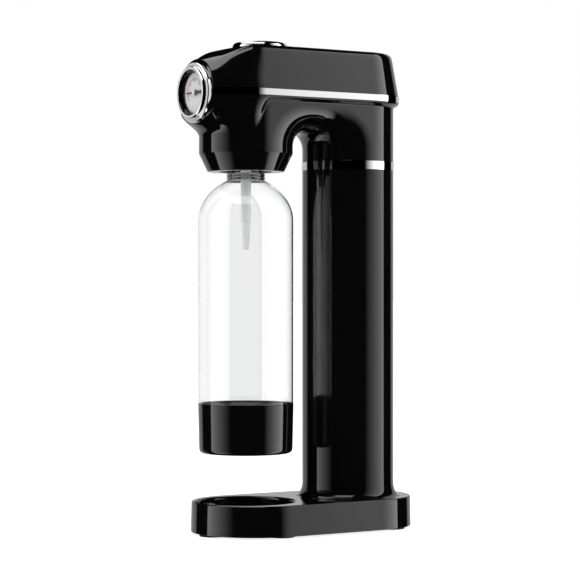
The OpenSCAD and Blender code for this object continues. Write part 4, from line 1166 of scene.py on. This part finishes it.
grip_in, grip_r = MOUTH_R + GRIP_FIT, grip_high[0]
grip_z, grip_top = grip_low[2], grip_high[2]
groove = (grip_z + grip_top) / 2
grip = rounded(
    (grip_in, grip_z, 0),
    (grip_r - GRIP_BEVEL[0], grip_z, 0.2),
    (grip_r, grip_z + GRIP_BEVEL[1], 0.3),
    (grip_r, groove - GROOVE_HALF, 0.3),
    (grip_r - GROOVE_DEEP, groove, 0.2),
    (grip_r, groove + GROOVE_HALF, 0.3),
    (grip_r, grip_top - GRIP_BEVEL[1], 0.3),
    (grip_r - GRIP_BEVEL[0], grip_top, 0.2),
    (grip_in, grip_top, 0),
    closed=True,
    hold=0.05,
)
# The ring is clear plastic tinted dark: painted shade for the dark collar seen in its wall.
skin("bottle_neck_ring", [turned(grip, bottle_y, 144)], finish="shade_tinted_ring")

# %% [markdown]
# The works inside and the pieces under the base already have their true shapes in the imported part, so they keep their
# meshes. Only their finishes are set here, each from the slot that the record gives it.

# %% finishes of the carried-over nodes
dressed = [node for node, piece in frame["nodes"].items() if not piece.hide_render]
for node in dressed:
    frame["nodes"][node].data.materials.clear()
    frame["nodes"][node].data.materials.append(finishes[slot_of[node]])
print("carried-over nodes:", len(dressed))

# %% [markdown]
# The studio is dark, with two tall soft cards at the sides, a card overhead and faint sheets behind and at the far
# side. Gloss black shows nothing but such cards, so each is a sheet that glows by the strength stored at its points:
# strong at one edge and fading towards the other, which gives the long soft bands on the column. Low down, the right
# card keeps only its strong edge.

# %% studio cards
CARD_MIDDLE = 0.25
FAR = 1.6
NEAR = 0.55
TALL = np.linspace(-60, 47, 25)
HIGH = np.linspace(49, 73, 9)
BEHIND = np.linspace(-40, 9, 21)
BESIDE = np.linspace(-40, 34, 31)
LOW_CUT = np.clip((TALL + 38) / 16, 0, 1)[:, None]

along = np.linspace(0, 1, 41)


def dome_part(distance, start, end, tilt):
    """Part of a sphere round the object, between two compass angles from +X towards +Y and over the heights above the
    horizon in tilt, all in degrees."""
    a, e = np.radians(start + (end - start) * along)[None], np.radians(tilt)[:, None]
    way = points_at(np.cos(e) * np.cos(a), np.cos(e) * np.sin(a), np.sin(e))
    return distance * way + [0, 0, CARD_MIDDLE]


def glowing(name, points, strength, through=True, mirrored=True):
    """A sheet that glows by the strength at its points. It may show through clear pieces, and in reflections and soft
    light; the camera never sees it."""
    piece = welded(name, [points / MM])
    level = piece.data.attributes.new("level", "FLOAT", "POINT")
    level.data.foreach_set("value", np.broadcast_to(strength, points.shape[:2]).ravel().astype(np.float32))
    glow = Finish(name)
    amount = glow.node("ShaderNodeAttribute", {"attribute_name": "level"}, {}, "Fac")
    light = glow.node("ShaderNodeEmission", {}, {"Color": (1, 1, 1, 1), "Strength": amount})
    glow.tree.links.new(light.socket, glow.tree.nodes["Material Output"].inputs["Surface"])
    piece.data.materials.append(glow.material)
    piece.visible_camera = False
    piece.visible_shadow = False
    piece.visible_transmission = through
    piece.visible_glossy = mirrored
    piece.visible_diffuse = mirrored


strong_edge = np.clip(5 * along - 1.6, 0, 1)
glowing("card_right", dome_part(FAR, 12, 68, TALL), 2.85 * along * np.maximum(LOW_CUT, strong_edge))
glowing("card_left", dome_part(NEAR, 290, 242, TALL), 2.2 * along**1.2)
glowing("card_above", dome_part(FAR, 165, 350, HIGH), 1.7 + 1.3 * np.minimum(along * 1.8, 1))
glowing("sheet_behind", dome_part(FAR, 144, 201, BEHIND), 0.65 - 0.15 * along, through=False)
glowing("sheet_side", dome_part(FAR, 104, 144, BESIDE), 0.5 + 0.15 * along, through=False)
print("two side cards, one above and two sheets")

# %% [markdown]
# Clear things on white need something to show. Behind the bottle stands a glowing pale grey strip that only glass
# sees, narrower than the bottle and round at its top. It glows less in its middle than at its sides, so it paints shade
# into the bottle's middle, a shade darker than the paper, while the bottle's walls stay bright.

# %% grey strip behind the bottle
GREY_BACK = 90.0
GREY_ASIDE = -2.0
GREY_HALF = 17.0
GREY_TOP = 314.0
GREY_ROUND = 32.0
GREY_PALE = 1.08
GREY_SHADE = 0.22
GREY_FADE = 8

spot = np.array([0, bottle_y, 0]) + GREY_BACK * ahead
across = np.linspace(-1, 1, 41)
grey_top = GREY_TOP - GREY_ROUND * (1 - np.sqrt(1 - across**2))
rise = cup_low[2] + (grey_top - cup_low[2]) * np.linspace(0, 1, 9)[:, None]
place = spot + (GREY_ASIDE + GREY_HALF * across[None, :, None]) * right + rise[:, :, None] * [0, 0, 1]
# Painted shade: the strip glows less in its middle, which darkens the bottle's middle as seen through it.
shade = GREY_PALE - GREY_SHADE * np.minimum(1, GREY_FADE * (1 - abs(across)))
glowing("painted_shade_strip", place * MM, shade, mirrored=False)
print("grey strip", GREY_BACK, "mm behind the bottle's axis")

# %% [markdown]
# The floor is plain and pale. It has to be as white as the background and still hold the shadow under the feet, so its
# own colour is near white and the light that falls on it is topped up for the camera only. The world is white to the
# camera and through glass, dim as soft light and black in reflections, as in a studio with its walls in shade.

# %% floor and world
FLOOR_SIZE = 40.0
FLOOR_GLOW = 0.85
GLASS_LIGHT = 1.08
SHADE_LIGHT = 0.5


def pale_floor():
    """Near white, and topped up where the camera sees it."""
    f = Finish("pale_floor")
    speck = f.noise(8.0, 2.0)
    f.shade(Base_Color=f.mix(speck, (0.80, 0.80, 0.80, 1), (0.84, 0.84, 0.84, 1)), Roughness=0.9)
    f.shade(Emission_Color=(1, 1, 1, 1), Emission_Strength=FLOOR_GLOW * f.ray("Camera"))
    return f.material


edge = np.linspace(-FLOOR_SIZE / 2, FLOOR_SIZE / 2, 3)
floor = welded("floor", [points_at(edge[:, None], edge[None], 0.0) / MM])
floor.data.materials.append(pale_floor())
floor.visible_glossy = False
floor.visible_transmission = False

world = bpy.data.worlds.new("studio")
bpy.context.scene.world = world
sky = Finish("sky", world)
light = sky.ray("Camera") + GLASS_LIGHT * sky.ray("Transmission") + SHADE_LIGHT * sky.ray("Diffuse")
sky.shade(Color=(1, 1, 1, 1), Strength=light)
print("floor and world")
